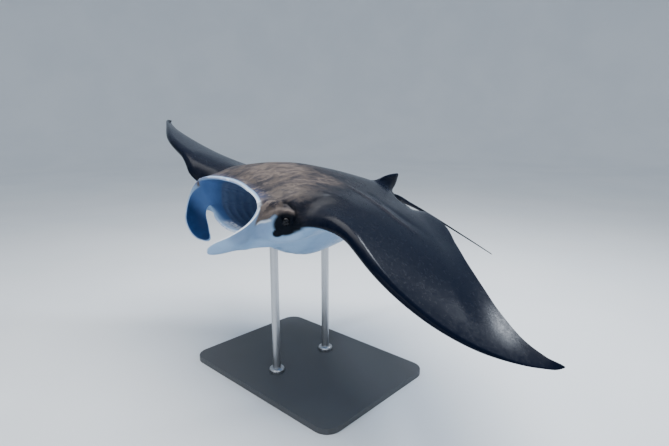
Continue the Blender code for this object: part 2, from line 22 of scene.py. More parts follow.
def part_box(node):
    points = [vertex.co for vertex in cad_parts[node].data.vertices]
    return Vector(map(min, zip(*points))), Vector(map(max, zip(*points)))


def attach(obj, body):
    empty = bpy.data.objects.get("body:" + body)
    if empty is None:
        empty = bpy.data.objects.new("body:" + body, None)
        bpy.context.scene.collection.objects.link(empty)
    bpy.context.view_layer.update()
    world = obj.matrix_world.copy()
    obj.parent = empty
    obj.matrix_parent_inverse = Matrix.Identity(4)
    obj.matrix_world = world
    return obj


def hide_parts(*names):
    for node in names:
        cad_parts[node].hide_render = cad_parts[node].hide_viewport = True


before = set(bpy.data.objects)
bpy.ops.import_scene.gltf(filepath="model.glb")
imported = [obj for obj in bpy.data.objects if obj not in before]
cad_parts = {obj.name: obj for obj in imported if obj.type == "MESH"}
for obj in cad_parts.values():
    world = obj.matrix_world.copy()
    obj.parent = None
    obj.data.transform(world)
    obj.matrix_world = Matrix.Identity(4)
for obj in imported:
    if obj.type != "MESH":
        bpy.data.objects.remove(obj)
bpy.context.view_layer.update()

Array = np.ndarray
Colour = tuple[float, float, float]
Inputs = dict[str | int, object]
Knots = tuple[tuple[float, float], ...]
Masks = dict[str, np.ndarray]
Material = bpy.types.Material
Point = tuple[float, float, float]
Settings = dict[str, object]
Socket = bpy.types.NodeSocket
Paint = Colour | Socket
Span = tuple[float, float]

log = logging.getLogger("manta")


# ---------------------------------------------------------------- curves and grids


def smooth(start: float, end: float, value: Array | float) -> Array:
    """Rise from 0 to 1 as t * t * (3 - 2 t), with t the share of the way from start to end.

    Args:
        start: Value where the rise begins.
        end: Value where the rise is complete; below start it is a fall.
        value: Numbers to map.

    Returns:
        Numbers between 0 and 1.
    """
    t = np.clip((value - start) / (end - start), 0.0, 1.0)
    return t * t * (3.0 - 2.0 * t)


def hump(value: Array | float, width: float, power: float = 2.0) -> Array:
    """Bell of height 1: exp of minus |value / width| to a power."""
    return np.exp(-np.abs(np.asarray(value) / width) ** power)


def curve(knots: Knots, values: Array | float) -> Array:
    """Cubic Hermite curve through knots with harmonic mean tangents, so it never overshoots.

    Args:
        knots: (place, height) pairs in rising order of place.
        values: Places to read the curve at; they are held within the knots.

    Returns:
        Heights at the places.
    """
    x, y = np.asarray(knots, float).T
    step = np.diff(x)
    slope = np.diff(y) / step
    total = slope[1:] + slope[:-1]
    product = slope[1:] * slope[:-1]
    inner = np.where(product > 0, 2 * product / np.where(total == 0, 1, total), 0.0)
    tangent = np.concatenate([slope[:1], inner, slope[-1:]])
    places = np.clip(values, x[0], x[-1])
    i = np.clip(np.searchsorted(x, places, side="right") - 1, 0, len(x) - 2)
    t = (places - x[i]) / step[i]
    return (
        (1 + 2 * t) * (1 - t) ** 2 * y[i]
        + t * (1 - t) ** 2 * step[i] * tangent[i]
        + t * t * (3 - 2 * t) * y[i + 1]
        + t * t * (t - 1) * step[i] * tangent[i + 1]
    )


def along(points: Array | tuple, t: Array) -> Array:
    """Smooth path through points, with t from 0 to 1 by the points' own spacing.

    Args:
        points: Points, one row each.
        t: Shares of the path's length.

    Returns:
        Points on the path, in an added last axis.
    """
    points = np.asarray(points, float)
    length = np.concatenate([[0.0], np.cumsum(np.linalg.norm(np.diff(points, axis=0), axis=1))])
    length /= length[-1]
    return np.stack([curve(np.column_stack([length, column]), t) for column in points.T], axis=-1)


def spaced(count: int, density: Knots) -> Array:
    """Places from 0 to 1 whose spacing is one over a density curve, by its running total.

    Args:
        count: Number of steps.
        density: Wanted density at places from 0 to 1.

    Returns:
        count + 1 rising places from 0 to 1.
    """
    fine = np.linspace(0.0, 1.0, 2001)
    weight = curve(density, fine)
    total = np.concatenate([[0.0], np.cumsum((weight[1:] + weight[:-1]) / 2)])
    return np.interp(np.linspace(0.0, 1.0, count + 1), total / total[-1], fine)


def unit(vectors: Array) -> Array:
    """Vectors divided by their own lengths."""
    return vectors / np.maximum(np.linalg.norm(vectors, axis=-1, keepdims=True), 1e-12)


def path_distance(points: Array | tuple, places: Array) -> Array:
    """Shortest distance from each place to a path of straight pieces.

    Args:
        points: Points of the path, with two or three coordinates.
        places: Array whose last axis starts with as many coordinates.

    Returns:
        Distances, one for each place.
    """
    points = np.asarray(points, float)
    best = np.full(places.shape[:-1], np.inf)
    for start, end in zip(points, points[1:]):
        way = end - start
        offset = places[..., :len(start)] - start
        t = np.clip((offset @ way) / max(way @ way, 1e-12), 0.0, 1.0)
        best = np.minimum(best, np.linalg.norm(offset - t[..., None] * way, axis=-1))
    return best


def relax(points: Array, edges: Array, weight: Array, rounds: int) -> Array:
    """Move each point a share of the way to the mean of its neighbours, several times.

    Args:
        points: Points of a mesh.
        edges: Pairs of point numbers.
        weight: Share of the way for each point, 0 to leave it.
        rounds: Number of passes.

    Returns:
        The moved points.
    """
    both = np.concatenate([edges, edges[:, ::-1]])
    count = np.bincount(both[:, 0], minlength=len(points))[:, None]
    moved = points.copy()
    for _ in range(rounds):
        total = np.stack(
            [np.bincount(both[:, 0], moved[both[:, 1], axis], len(points)) for axis in range(3)],
            axis=1,
        )
        moved += weight[:, None] * (total / np.maximum(count, 1) - moved)
    return moved


def grid_quads(numbers: Array) -> Array:
    """Quads between neighbouring rows and columns of an array of point numbers."""
    return np.stack(
        [numbers[:-1, :-1], numbers[:-1, 1:], numbers[1:, 1:], numbers[1:, :-1]], axis=-1
    ).reshape(-1, 4)


def end_cap(ring: Array) -> Array:
    """Quads between the two halves of a flat ring with an even number of points.

    Args:
        ring: Point numbers in order round the ring.

    Returns:
        The quads.
    """
    low, high = np.arange(len(ring) // 2 - 1), np.arange(len(ring) - 1, len(ring) // 2, -1)
    return np.stack([ring[low], ring[low + 1], ring[high - 1], ring[high]], axis=1)


def quad_edges(quads: Array) -> Array:
    """The separate sides of quads.

    Args:
        quads: Quads as point numbers.

    Returns:
        The sides, each as a pair of point numbers.
    """
    pairs = np.concatenate([quads[:, [k, (k + 1) % 4]] for k in range(4)])
    pairs = pairs[pairs[:, 0] != pairs[:, 1]]
    return np.unique(np.sort(pairs, axis=1), axis=0)


def signed_volume(points: Array, quads: Array) -> float:
    """Volume of a closed mesh by the divergence sum; below zero where faces point inwards."""
    a, b, c, d = (points[quads[:, k]] for k in range(4))
    return float(
        (np.einsum("ij,ij->i", a, np.cross(b, c)) + np.einsum("ij,ij->i", a, np.cross(c, d))).sum() / 6
    )


def point_normals(points: Array, quads: Array) -> Array:
    """Unit normals at a mesh's points: the sum of the crossed diagonals of the quads round each.

    Args:
        points: Points of the mesh.
        quads: Its quads as point numbers.

    Returns:
        The normals.
    """
    a, b, c, d = (points[quads[:, k]] for k in range(4))
    face = np.cross(c - a, d - b)
    total = np.zeros_like(points)
    for corner in range(4):
        for axis in range(3):
            total[:, axis] += np.bincount(quads[:, corner], face[:, axis], len(points))
    return unit(total)


def turned(away: Array, height: Array, columns: int) -> Array:
    """Points of a profile turned about the upright axis: away * (cos, sin) of the turn, at its height.

    Args:
        away: Distances of the profile's points from the axis.
        height: Their heights.
        columns: Number of steps of the turn.

    Returns:
        Points, profile points by columns.
    """
    turn = np.linspace(0.0, 2 * math.pi, columns + 1)[:-1]
    away, height = away[:, None], height[:, None] + 0 * turn
    return np.stack([away * np.cos(turn), away * np.sin(turn), height], axis=-1)


def without_poles(points: Array, poles: tuple[int, ...]) -> tuple[Array, list[list[int]]]:
    """Points and faces of a turned surface whose pole rows each shrink to one point.

    Args:
        points: Points, rows by columns.
        poles: Rows that lie on the axis.

    Returns:
        The points that are left, and faces round the surface, with triangles at the poles.
        They point away from the axis where the profile runs down from the first row.
    """
    numbers = np.arange(points.shape[0] * points.shape[1]).reshape(points.shape[:2])
    for pole in poles:
        numbers[pole] = numbers[pole, 0]
    kept, numbers = np.unique(numbers, return_inverse=True)
    numbers = numbers.reshape(points.shape[:2])
    quads = grid_quads(np.concatenate([numbers, numbers[:, :1]], axis=1))[:, ::-1]
    faces = [[n for i, n in enumerate(row) if n not in row[:i]] for row in quads.tolist()]
    return points.reshape(-1, 3)[kept], faces


# ---------------------------------------------------------------- the animal's form


class Side(Enum):
    """The two sides of the animal; the value is the sign of its direction across."""

    LEFT = 1
    RIGHT = -1


@dataclass(frozen=True)
class WingPose:
    """How one wing is bent: slope and twist along the span as polynomials of its share."""

    slope: tuple[float, float, float]
    twist: Span
    sweep: float
    lift: float
    reach: float

    def slope_at(self, share: Array) -> Array:
        """Slope of the span line at shares of the half span."""
        return self.slope[0] + self.slope[1] * share + self.slope[2] * share * share

    def twist_at(self, share: Array) -> Array:
        """Turn of the chords at shares of the half span."""
        return self.twist[0] * share + self.twist[1] * share * share


@dataclass(frozen=True)
class LobePlan:
    """One head lobe: its middle line, the direction from hind to front edge, and half its width."""

    line: tuple[Point, ...]
    across: tuple[Point, ...]
    half_width: tuple[float, ...]


@dataclass(frozen=True)
class AnimalForm:
    """Outline, heights and thicknesses of the flat animal, in metres from its upper lip."""

    half_span: float = 1.5
    wing_level: float = 0.025
    head_edge_level: float = -0.088
    edge_rise: Span = (0.25, 0.65)
    front_edge: Knots = (
        (0.246, 0.026), (0.272, 0.044), (0.300, 0.076), (0.325, 0.112), (0.345, 0.150),
        (0.390, 0.175), (0.450, 0.186), (0.600, 0.212), (0.750, 0.242), (0.900, 0.296),
        (1.050, 0.369), (1.200, 0.461), (1.350, 0.573), (1.440, 0.652), (1.488, 0.706),
        (1.500, 0.740),
    )
    rear_edge: Knots = (
        (0.00, 1.310), (0.07, 1.285), (0.15, 1.230), (0.30, 1.145), (0.45, 1.085),
        (0.60, 1.030), (0.75, 0.940), (0.90, 0.850), (1.05, 0.778), (1.20, 0.722),
        (1.35, 0.697), (1.44, 0.709), (1.488, 0.732), (1.50, 0.745),
    )
    back: Knots = (
        (0.00, 0.042), (0.05, 0.055), (0.12, 0.094), (0.22, 0.138), (0.34, 0.170), (0.50, 0.184),
        (0.70, 0.178), (0.90, 0.163), (1.08, 0.143), (1.20, 0.117), (1.31, 0.080),
    )
    belly: Knots = (
        (0.00, -0.158), (0.05, -0.172), (0.12, -0.192), (0.22, -0.219), (0.34, -0.256),
        (0.44, -0.267), (0.56, -0.237), (0.68, -0.182), (0.80, -0.120), (0.95, -0.060),
        (1.10, -0.010), (1.22, 0.020), (1.31, 0.044),
    )
    back_width: float = 0.30
    back_power: float = 2.2
    belly_width: float = 0.335
    belly_power: float = 4.5
    wing_half_thickness: Knots = (
        (0.00, 0.036), (0.45, 0.036), (0.60, 0.031), (0.75, 0.026), (0.90, 0.021), (1.05, 0.017),
        (1.20, 0.012), (1.35, 0.008), (1.44, 0.005), (1.50, 0.003),
    )
    thickest_chord: float = 0.3
    thinning_power: float = 1.7
    rear_half_thickness: float = 0.002
    rear_taper: float = 0.20
    tail_root: Span = (0.02, 0.12)
    back_closing: float = 0.5
    mouth_half_width: Span = (0.237, 0.184)
    mouth_depth: float = 0.34
    lip_radius: float = 0.008
    lip_start: float = 0.058
    lip_sweep: float = 0.84
    lip_drop: float = 0.42
    lip_drop_width: float = 0.30
    lip_drop_behind: Span = (0.24, 0.02)
    lip_drop_beside: Span = (0.46, 0.30)
    jaw_rise: float = 1.5
    jaw_rise_width: float = 0.19
    jaw_rise_behind: Span = (0.17, 0.07)
    jaw_rise_beside: Span = (0.30, 0.20)
    droop: Span = (0.70, 0.85)
    droop_behind: Span = (0.24, 0.0)
    droop_beside: Span = (0.19, 0.40)
    edge_radius_start: float = 0.026
    edge_radius_steps: tuple[Point, ...] = (
        (0.064, 0.246, 0.310), (-0.035, 0.36, 0.50), (-0.035, 0.40, 1.0), (-0.014, 1.0, 1.5),
    )
    span_steps: int = 600
    bend_rise: Span = (0.25, 0.52)
    lift_rise: Span = (0.10, 0.50)
    sweep_rise: Span = (0.3, 0.9)
    twist_axis: float = 0.35
    reach_rise: Span = (0.36, 0.50)
    reach_fall: Span = (0.85, 1.40)
    body_height: float = 0.98
    bank: float = math.radians(9.7)
    nose_up: float = math.radians(-9.6)
    pivot: float = 0.5

    def wing_thickness(self, x: Array, y: Array) -> Array:
        """Half thickness: the span curve over the front third, thinning to the rear edge.

        Args:
            x: Distances from the midline.
            y: Distances behind the upper lip.

        Returns:
            Half thicknesses.
        """
        front, rear = curve(self.front_edge, x), curve(self.rear_edge, x)
        chord = np.clip((y - front) / np.maximum(rear - front, 1e-6), 0.0, 1.0)
        behind = np.clip((chord - self.thickest_chord) / (1 - self.thickest_chord), 0.0, 1.0)
        full = 1.0 - behind ** self.thinning_power
        thin = self.rear_half_thickness
        return thin + (curve(self.wing_half_thickness, x) - thin) * full

    def heights(self, x: Array, y: Array) -> tuple[Array, Array]:
        """Heights of back and belly: midline curves spread by humps, closed on each other at the rear.

        Args:
            x: Places across.
            y: Places along.

        Returns:
            Heights of the back and of the belly.
        """
        x = np.abs(x)
        middle = self.wing_thickness(0 * x, y)
        wing = self.wing_thickness(x, y)
        rise = curve(self.back, y) - self.wing_level - middle
        drop = curve(self.belly, y) - self.wing_level + middle
        back = self.wing_level + wing + rise * hump(x, self.back_width, self.back_power)
        near_lip = smooth(*self.lip_drop_behind, y) * smooth(*self.lip_drop_beside, x)
        back = back - self.lip_drop * np.minimum(x, self.lip_drop_width) ** 2 * near_lip
        belly = self.wing_level - wing + drop * hump(x, self.belly_width, self.belly_power)
        near_jaw = smooth(*self.jaw_rise_behind, y) * smooth(*self.jaw_rise_beside, x)
        belly = belly + self.jaw_rise * np.minimum(x, self.jaw_rise_width) ** 2 * near_jaw
        near_edge = smooth(*self.droop_behind, y - curve(self.front_edge, x)) * smooth(*self.droop_beside, x)
        sag = (self.edge_height(x) - self.wing_level) * near_edge
        back, belly = back + self.droop[0] * sag, belly + self.droop[1] * sag
        behind = 1 - smooth(0.0, self.rear_taper, curve(self.rear_edge, x) - y)
        spare = np.maximum(back - belly - 2 * self.rear_half_thickness, 0.0)
        spare = spare * behind * smooth(*self.tail_root, x)
        return back - self.back_closing * spare, belly + (1 - self.back_closing) * spare

    def edge_height(self, x: Array) -> Array:
        """Height of the foremost line round the head side and the wing."""
        return self.head_edge_level + (self.wing_level - self.head_edge_level) * smooth(*self.edge_rise, x)

    def edge_radius(self, x: Array) -> Array:
        """How far behind the foremost line the front edge is rounded: a start and its later changes."""
        changes = (change * smooth(start, end, x) for change, start, end in self.edge_radius_steps)
        return self.edge_radius_start + sum(changes)

    def bend(self, points: Array, pose: WingPose, side: Side) -> Array:
        """Bend one side: the span line is the running sum of a slope, and each chord turns on its axis.

        Args:
            points: Points of the flat animal, with x as distance from the midline.
            pose: The wing's bend.
            side: Which side the points go to.

        Returns:
            Points of the bent animal.
        """
        span = np.linspace(0.0, self.half_span, self.span_steps + 1)
        middle = (span[1:] + span[:-1]) / 2
        slope = pose.slope_at(middle / self.half_span) * smooth(*self.bend_rise, middle)
        line_x = np.concatenate([[0.0], np.cumsum(np.cos(slope))]) * (span[1] - span[0])
        line_z = np.concatenate([[0.0], np.cumsum(np.sin(slope))]) * (span[1] - span[0])
        s = np.clip(points[..., 0], 0.0, self.half_span)
        q = s / self.half_span
        bent = smooth(*self.bend_rise, s)
        angle, twist = pose.slope_at(q) * bent, pose.twist_at(q) * bent
        front = curve(self.front_edge, s)
        axis = front + self.twist_axis * (curve(self.rear_edge, s) - front)
        y = points[..., 1] - axis
        reach = pose.reach * smooth(*self.reach_rise, s) * (1 - smooth(*self.reach_fall, s))
        y = np.where(y < 0, y * (1 + reach), y)
        z = points[..., 2] - self.wing_level
        turned_y = axis + y * np.cos(twist) - z * np.sin(twist)
        turned_z = y * np.sin(twist) + z * np.cos(twist)
        x = np.interp(s, span, line_x) + (points[..., 0] - s) - np.sin(angle) * turned_z
        height = self.wing_level + np.interp(s, span, line_z) + np.cos(angle) * turned_z
        height = height + pose.lift * smooth(*self.lift_rise, s)
        swept = turned_y + pose.sweep * q * q * smooth(*self.sweep_rise, s)
        return np.stack([side.value * x, swept, height], axis=-1)

    def stand_matrix(self) -> Array:
        """The matrix that banks and pitches the animal about its pivot over the stand.

        Returns:
            The matrix, 4 by 4.
        """
        turn = Matrix.Rotation(self.nose_up, 4, "X") @ Matrix.Rotation(self.bank, 4, "Y")
        lift = Matrix.Translation((0, 0, self.body_height))
        return np.array(lift @ turn @ Matrix.Translation((0, -self.pivot, 0)))

    def to_stand(self, points: Array) -> Array:
        """Points of the bent animal carried to their place over the stand."""
        matrix = self.stand_matrix()
        return points @ matrix[:3, :3].T + matrix[:3, 3]


WING_POSES = {
    Side.LEFT: WingPose((0.492, -3.148, 2.865), (-0.300, 0.909), -0.273, 0.030, 0.0),
    Side.RIGHT: WingPose((-0.104, 0.806, -0.584), (-0.033, -0.515), -0.248, -0.018, 0.28),
}

LOBE_PLANS = {
    Side.LEFT: LobePlan(
        line=(
            (0.226, 0.087, -0.088), (0.234, 0.007, -0.142), (0.205, -0.059, -0.184),
            (0.162, -0.141, -0.218),
        ),
        across=((0.09, -0.56, 0.82), (0.22, -0.40, 0.89), (0.46, -0.64, 0.61), (0.41, -0.39, 0.83)),
        half_width=(0.129, 0.081, 0.074, 0.060),
    ),
    Side.RIGHT: LobePlan(
        line=(
            (0.220, 0.037, -0.048), (0.222, 0.017, -0.085), (0.193, 0.020, -0.207),
            (0.141, 0.034, -0.278),
        ),
        across=((0.28, -0.39, 0.88), (0.34, -0.79, 0.51), (0.46, -0.87, 0.20), (0.48, -0.87, 0.12)),
        half_width=(0.069, 0.074, 0.082, 0.086),
    ),
}


# ---------------------------------------------------------------- the skin


@dataclass
class SkinGrid:
    """Counts of the skin's grid: columns from the midline to a wing tip, rows round a section."""

    mouth_columns: int = 28
    lobe_columns: int = 40
    head_columns: int = 26
    wing_columns: int = 68
    back_rows: int = 108
    front_rows: int = 96
    rim_rows: int = 7
    belly_rows: int = 71

    @property
    def first_side(self) -> int:
        """Number of the first column beyond the lobe."""
        return self.mouth_columns + self.lobe_columns

    @property
    def columns(self) -> int:
        """Number of columns on one side, the midline's included."""
        return self.first_side + self.head_columns + self.wing_columns + 1

    @property
    def front_start(self) -> int:
        """Row where the back ends and the front path starts."""
        return self.back_rows

    @property
    def front_end(self) -> int:
        """Row where the front path ends and the belly starts."""
        return self.back_rows + self.front_rows


@dataclass
class Skin:
    """The whole animal's skin as one closed mesh, with masks that its finish reads."""

    form: AnimalForm = field(default_factory=AnimalForm)
    grid: SkinGrid = field(default_factory=SkinGrid)
    head_knots: int = 4
    wing_spacing: float = 0.9
    part_ends: tuple[int, ...] = (5, 7, 12, 27)
    rear_spread: Knots = ((0, 0.0), (5, 0.09), (7, 0.20), (12, 0.33), (28, 1.35))
    rear_settling: Span = (0.40, 0.80)
    back_density: Knots = ((0, 1.6), (0.15, 1.0), (0.6, 0.75), (0.8, 1.2), (0.92, 1.9), (1, 2.2))
    belly_density: Knots = ((0, 1.6), (0.2, 1.0), (0.75, 0.8), (0.93, 2.0), (1, 2.4))
    start_blend: float = 0.09
    mouth_power: float = 0.8
    edge_power: float = 2.2
    under_reach: float = 0.08
    under_reach_end: Span = (0.25, 0.31)
    wing_share: float = 0.32
    wing_share_rise: Span = (0.36, 0.75)
    lobe_power: float = 2.8
    lobe_half_thickness: float = 0.011
    lobe_hollow: float = 0.22
    lobe_turn: float = 0.32
    tail_line: tuple[Point, ...] = (
        (0.000, 1.240, 0.062), (0.004, 1.340, 0.054), (0.020, 1.520, 0.018), (0.055, 1.760, -0.044),
        (0.115, 2.020, -0.124), (0.210, 2.280, -0.214), (0.295, 2.475, -0.286),
    )
    tail_radius: Knots = ((0.0, 0.024), (0.08, 0.019), (0.2, 0.012), (0.5, 0.007), (1.0, 0.0035))
    tail_columns: int = 8
    tail_rings: int = 90
    tail_spacing: float = 1.25
    tail_rounding: float = 0.13
    tail_centring: float = 0.2
    tail_tip_scale: float = 0.25
    dorsal_columns: int = 6
    dorsal_base: Span = (1.062, 1.284)
    dorsal_outline: Knots = (
        (1.062, 0.138), (1.096, 0.151), (1.138, 0.172), (1.200, 0.195), (1.265, 0.210), (1.303, 0.215),
        (1.314, 0.206), (1.313, 0.168), (1.306, 0.124), (1.296, 0.094),
    )
    dorsal_half_thickness: float = 0.011
    pelvic_reach: float = 0.090
    pelvic_centre: float = 0.094
    pelvic_half_width: float = 0.056
    pelvic_start: Span = (0.036, 0.060)
    pelvic_length: float = 0.075
    pelvic_level: float = 0.024
    pelvic_slope: float = -0.10
    pelvic_level_place: float = 0.045
    pelvic_half_thickness: float = 0.0025
    rear_drop: Knots = (
        (0.02, 0.0), (0.05, -0.026), (0.22, -0.026), (0.34, 0.004), (0.42, 0.018), (0.54, 0.018),
        (0.72, 0.0),
    )
    root_rounds: int = 44
    fin_rounds: int = 20
    eye_place: Point = (0.318, 0.122, -0.034)
    patch_centre: Span = (0.124, -0.066)
    patch_radii: Span = (0.052, 0.050)
    patch_corner: Span = (0.100, -0.104)
    patch_corner_radius: float = 0.022
    pale_side: Knots = ((0.02, -0.056), (0.05, -0.056), (0.08, -0.030), (0.11, -0.060))
    rim_width: float = 0.0075
    rim_slimming: float = 0.45
    mouth_corner: Point = (0.238, 0.018, 0.013)
    mouth_corner_width: float = 0.009
    spiracle: Point = (0.286, 0.125, 0.029)
    gill_start: float = 0.215
    gill_gap: float = 0.058
    brow_line: Knots = (
        (0.050, -0.034), (0.070, -0.022), (0.094, -0.008), (0.128, -0.003), (0.148, -0.010),
    )
    groove_line: Knots = ((0.138, 0.026), (0.156, 0.000), (0.160, -0.034), (0.152, -0.058))
    fold_line: Knots = ((0.028, -0.056), (0.044, -0.062), (0.060, -0.054))
    gill_count: int = 5
    ridge_line: Knots = (
        (0.20, 0.56), (0.27, 0.60), (0.36, 0.605), (0.45, 0.60), (0.54, 0.62), (0.63, 0.67),
        (0.74, 0.73),
    )
    furrow_line: Knots = ((0.30, 0.70), (0.42, 0.68), (0.52, 0.69), (0.62, 0.75), (0.76, 0.80))
    feature_height: dict[str, float] = field(default_factory=lambda: {
        "brow": 0.008, "groove": -0.007, "lids": 0.005, "socket": -0.004, "fold": 0.004,
        "spiracle": -0.006, "arches": 0.003, "ridge": 0.006, "furrow": -0.004, "gills": -0.007,
    })
    coloured_features: tuple[str, ...] = (
        "brow", "groove", "fold", "spiracle", "arches", "ridge", "furrow", "gills",
    )

    def places(self) -> tuple[Array, Array]:
        """Where the columns start and end on the flat animal's outline.

        The front places follow the head side's knots and then the wing's. The rear places
        are spread by each column's part of the animal; on the wing they settle to the
        front places' distance from the midline.

        Returns:
            Front places of the side columns, and rear places of all columns, in the plane.
        """
        grid, edge = self.grid, np.asarray(self.form.front_edge, float)
        head = along(edge[:self.head_knots + 1], np.linspace(0.0, 1.0, grid.head_columns + 1))
        steps = np.linspace(0.0, 1.0, grid.wing_columns + 1) ** self.wing_spacing
        wing = along(edge[self.head_knots:], steps)
        fronts = np.concatenate([head, wing[1:]])
        counts = (grid.mouth_columns, grid.lobe_columns, grid.head_columns, grid.wing_columns)
        parts = zip((0, *self.part_ends), self.part_ends, counts)
        place = np.concatenate([[0.0], *(np.linspace(a, b, count + 1)[1:] for a, b, count in parts)])
        rear_x = curve(self.rear_spread, place)
        settled = smooth(*self.rear_settling, fronts[:, 0])
        rear_x[-len(fronts):] += (fronts[:, 0] - rear_x[-len(fronts):]) * settled
        return fronts, np.column_stack([rear_x, curve(self.form.rear_edge, rear_x)])

    def mouth_paths(self) -> Array:
        """Front paths through the mouth: half a circle round each lip, and a deep bow between them.

        The bow's depth is the mouth's depth times the sine of the turn to a power. Across
        the mouth, x is the half width times the sine of the column's angle, and the depth
        falls with its cosine. The upper lip sweeps forward with the square of x.

        Returns:
            Points, columns by rows.
        """
        form, grid = self.form, self.grid
        angle = np.linspace(0.0, math.pi / 2, grid.mouth_columns + 1)[:, None]
        upper_x, lower_x = (width * np.sin(angle) for width in form.mouth_half_width)
        r = form.lip_radius
        upper_y = form.lip_start - form.lip_sweep * upper_x ** 2
        lower_y = form.lip_start + 0 * angle
        top = form.heights(upper_x, upper_y + r)[0]
        bottom = form.heights(lower_x, lower_y + r)[1]
        rim = np.linspace(0.0, math.pi, grid.rim_rows + 1)[None, :]
        turn = np.linspace(0.0, math.pi, grid.front_rows - 2 * grid.rim_rows + 1)[None, 1:]
        lean = (1 - np.cos(turn)) / 2
        depth = form.mouth_depth * np.cos(angle)
        low_turn = rim[:, 1:]
        y = np.concatenate([
            upper_y + r * (1 - np.sin(rim)),
            upper_y + (lower_y - upper_y) * lean + r + depth * np.sin(turn) ** self.mouth_power,
            lower_y + r * (1 - np.sin(low_turn)),
        ], axis=1)
        inner_top, inner_bottom = top - 2 * r, bottom + 2 * r
        z = np.concatenate([
            top - r * (1 - np.cos(rim)),
            inner_top + (inner_bottom - inner_top) * lean,
            inner_bottom - r * (1 - np.cos(low_turn)),
        ], axis=1)
        x = np.concatenate([
            upper_x + 0 * rim, upper_x + (lower_x - upper_x) * lean, lower_x + 0 * low_turn,
        ], axis=1)
        return np.stack([x, y, z], axis=-1)

    def side_points(self, front: Array, rear: Array, c: Array, upper: Array) -> Array:
        """Points at shares c of the way from a front edge to a rear edge.

        Near the front the height leaves the foremost line as the root of 1 minus (1 - d) to
        the edge power, with d the distance over the edge radius.

        Args:
            front: Front places, one row each.
            rear: Rear places, one row each.
            c: Shares of the way, rows by points.
            upper: True where a point is on the back.

        Returns:
            Points, rows by points.
        """
        way = rear - front
        x = front[:, :1] + c * way[:, :1]
        y = front[:, 1:] + c * way[:, 1:]
        distance = c * np.linalg.norm(way, axis=1)[:, None]
        near = 1 - np.clip(distance / self.form.edge_radius(front[:, :1]), 0, 1)
        full = np.sqrt(np.maximum(1 - near ** self.edge_power, 0.0))
        back, belly = self.form.heights(x, y)
        z = self.form.edge_height(front[:, :1]) * (1 - full) + np.where(upper, back, belly) * full
        return np.stack([x, y, z], axis=-1)

    def share(self, front: Array, rear: Array, upper: bool) -> Array:
        """Share of a side section, from its front edge, that the front path covers.

        Args:
            front: Front places, one row each.
            rear: Rear places, one row each.
            upper: True for the back's side of the path.

        Returns:
            Shares, one for each section.
        """
        x = front[:, 0]
        reach = self.form.edge_radius(x)
        if not upper:
            reach = reach + self.under_reach * (1 - smooth(*self.under_reach_end, x))
        near = reach / np.linalg.norm(rear - front, axis=1)
        return near + (self.wing_share - near) * smooth(*self.wing_share_rise, x)

    def side_paths(self, front: Array, rear: Array) -> Array:
        """Front paths of the head side and the wing: shares 1 - sin(turn) over and under the edge.

        Args:
            front: Front places, one row each.
            rear: Rear places, one row each.

        Returns:
            Points, columns by rows.
        """
        turn = np.linspace(0.0, math.pi, self.grid.front_rows + 1)[None, :]
        over = turn <= math.pi / 2
        reach = np.where(
            over, self.share(front, rear, True)[:, None], self.share(front, rear, False)[:, None]
        )
        return self.side_points(front, rear, reach * (1 - np.sin(turn)), over)

    def lobe_paths(self, side: Side, inner: Array, outer: Array) -> tuple[Array, Masks]:
        """Front paths over a head lobe, from its inner root round its edge to its outer root.

        A path's place along the lobe is t = sin(column angle) * sin(row angle) ** p and its
        place across it b = cos(row angle) ** p, so that the outline is a superellipse. The
        roots follow the mouth's last path and the head side's first one.

        Args:
            side: Which lobe.
            inner: The mouth's last path.
            outer: The head side's first path.

        Returns:
            Points, columns by rows, and the lobe's masks.
        """
        plan, grid, power = LOBE_PLANS[side], self.grid, 2 / self.lobe_power
        angle = np.linspace(0.0, math.pi, grid.lobe_columns + 1)[:, None]
        turn = np.linspace(0.0, math.pi, grid.front_rows + 1)
        turn = (turn - self.lobe_turn * np.sin(2 * turn))[None, :]
        b = np.sign(np.cos(turn)) * np.abs(np.cos(turn)) ** power + 0 * angle
        t = np.sin(angle) * np.abs(np.sin(turn)) ** power
        steps = np.linspace(0.0, 1.0, len(plan.half_width))
        width = curve(tuple(zip(steps, plan.half_width)), t)[..., None]
        across = unit(along(plan.across, t))
        line = along(plan.line, t)
        after, before = np.minimum(t + 0.02, 1.0), np.maximum(t - 0.02, 0.0)
        inward = unit(np.cross(along(plan.line, after) - along(plan.line, before), across))
        face = np.sign(np.cos(angle)) * np.abs(np.cos(angle)) ** 0.6 + 0 * turn
        edge = (t ** self.lobe_power + np.abs(b) ** self.lobe_power) ** (1 / self.lobe_power)
        thick = self.lobe_half_thickness * face * (1 - 0.3 * t)
        hollow = self.lobe_hollow * (b ** 2 - 0.4) * width[..., 0] * np.sin(0.8 * math.pi * t)
        points = line + across * b[..., None] * width + inward * (thick + hollow)[..., None]
        root = line[:1, :1] + across[:1, :1] * b[..., None] * width[:1, :1]
        root = root + inward[:1, :1] * (self.lobe_half_thickness * face)[..., None]
        share = (angle / math.pi)[..., None]
        wanted = inner[None] * (1 - share) + outer[None] * share
        pull = (1 - t) ** 2.5 * (1 - np.sin(angle) ** 2 * smooth(0.2, -0.9, b))
        points = points + pull[..., None] * (wanted - root)
        length = np.linalg.norm(np.diff(np.asarray(plan.line), axis=0), axis=1).sum()
        slope = np.hypot(np.abs(b) ** 1.6 / width[..., 0], t ** 1.6 / length)
        inside = (1 - np.minimum(edge, 1.0)) / np.maximum(slope, 1e-6)
        return points, {"lobe_t": t, "lobe_b": b, "lobe_face": face, "lobe_edge": inside}

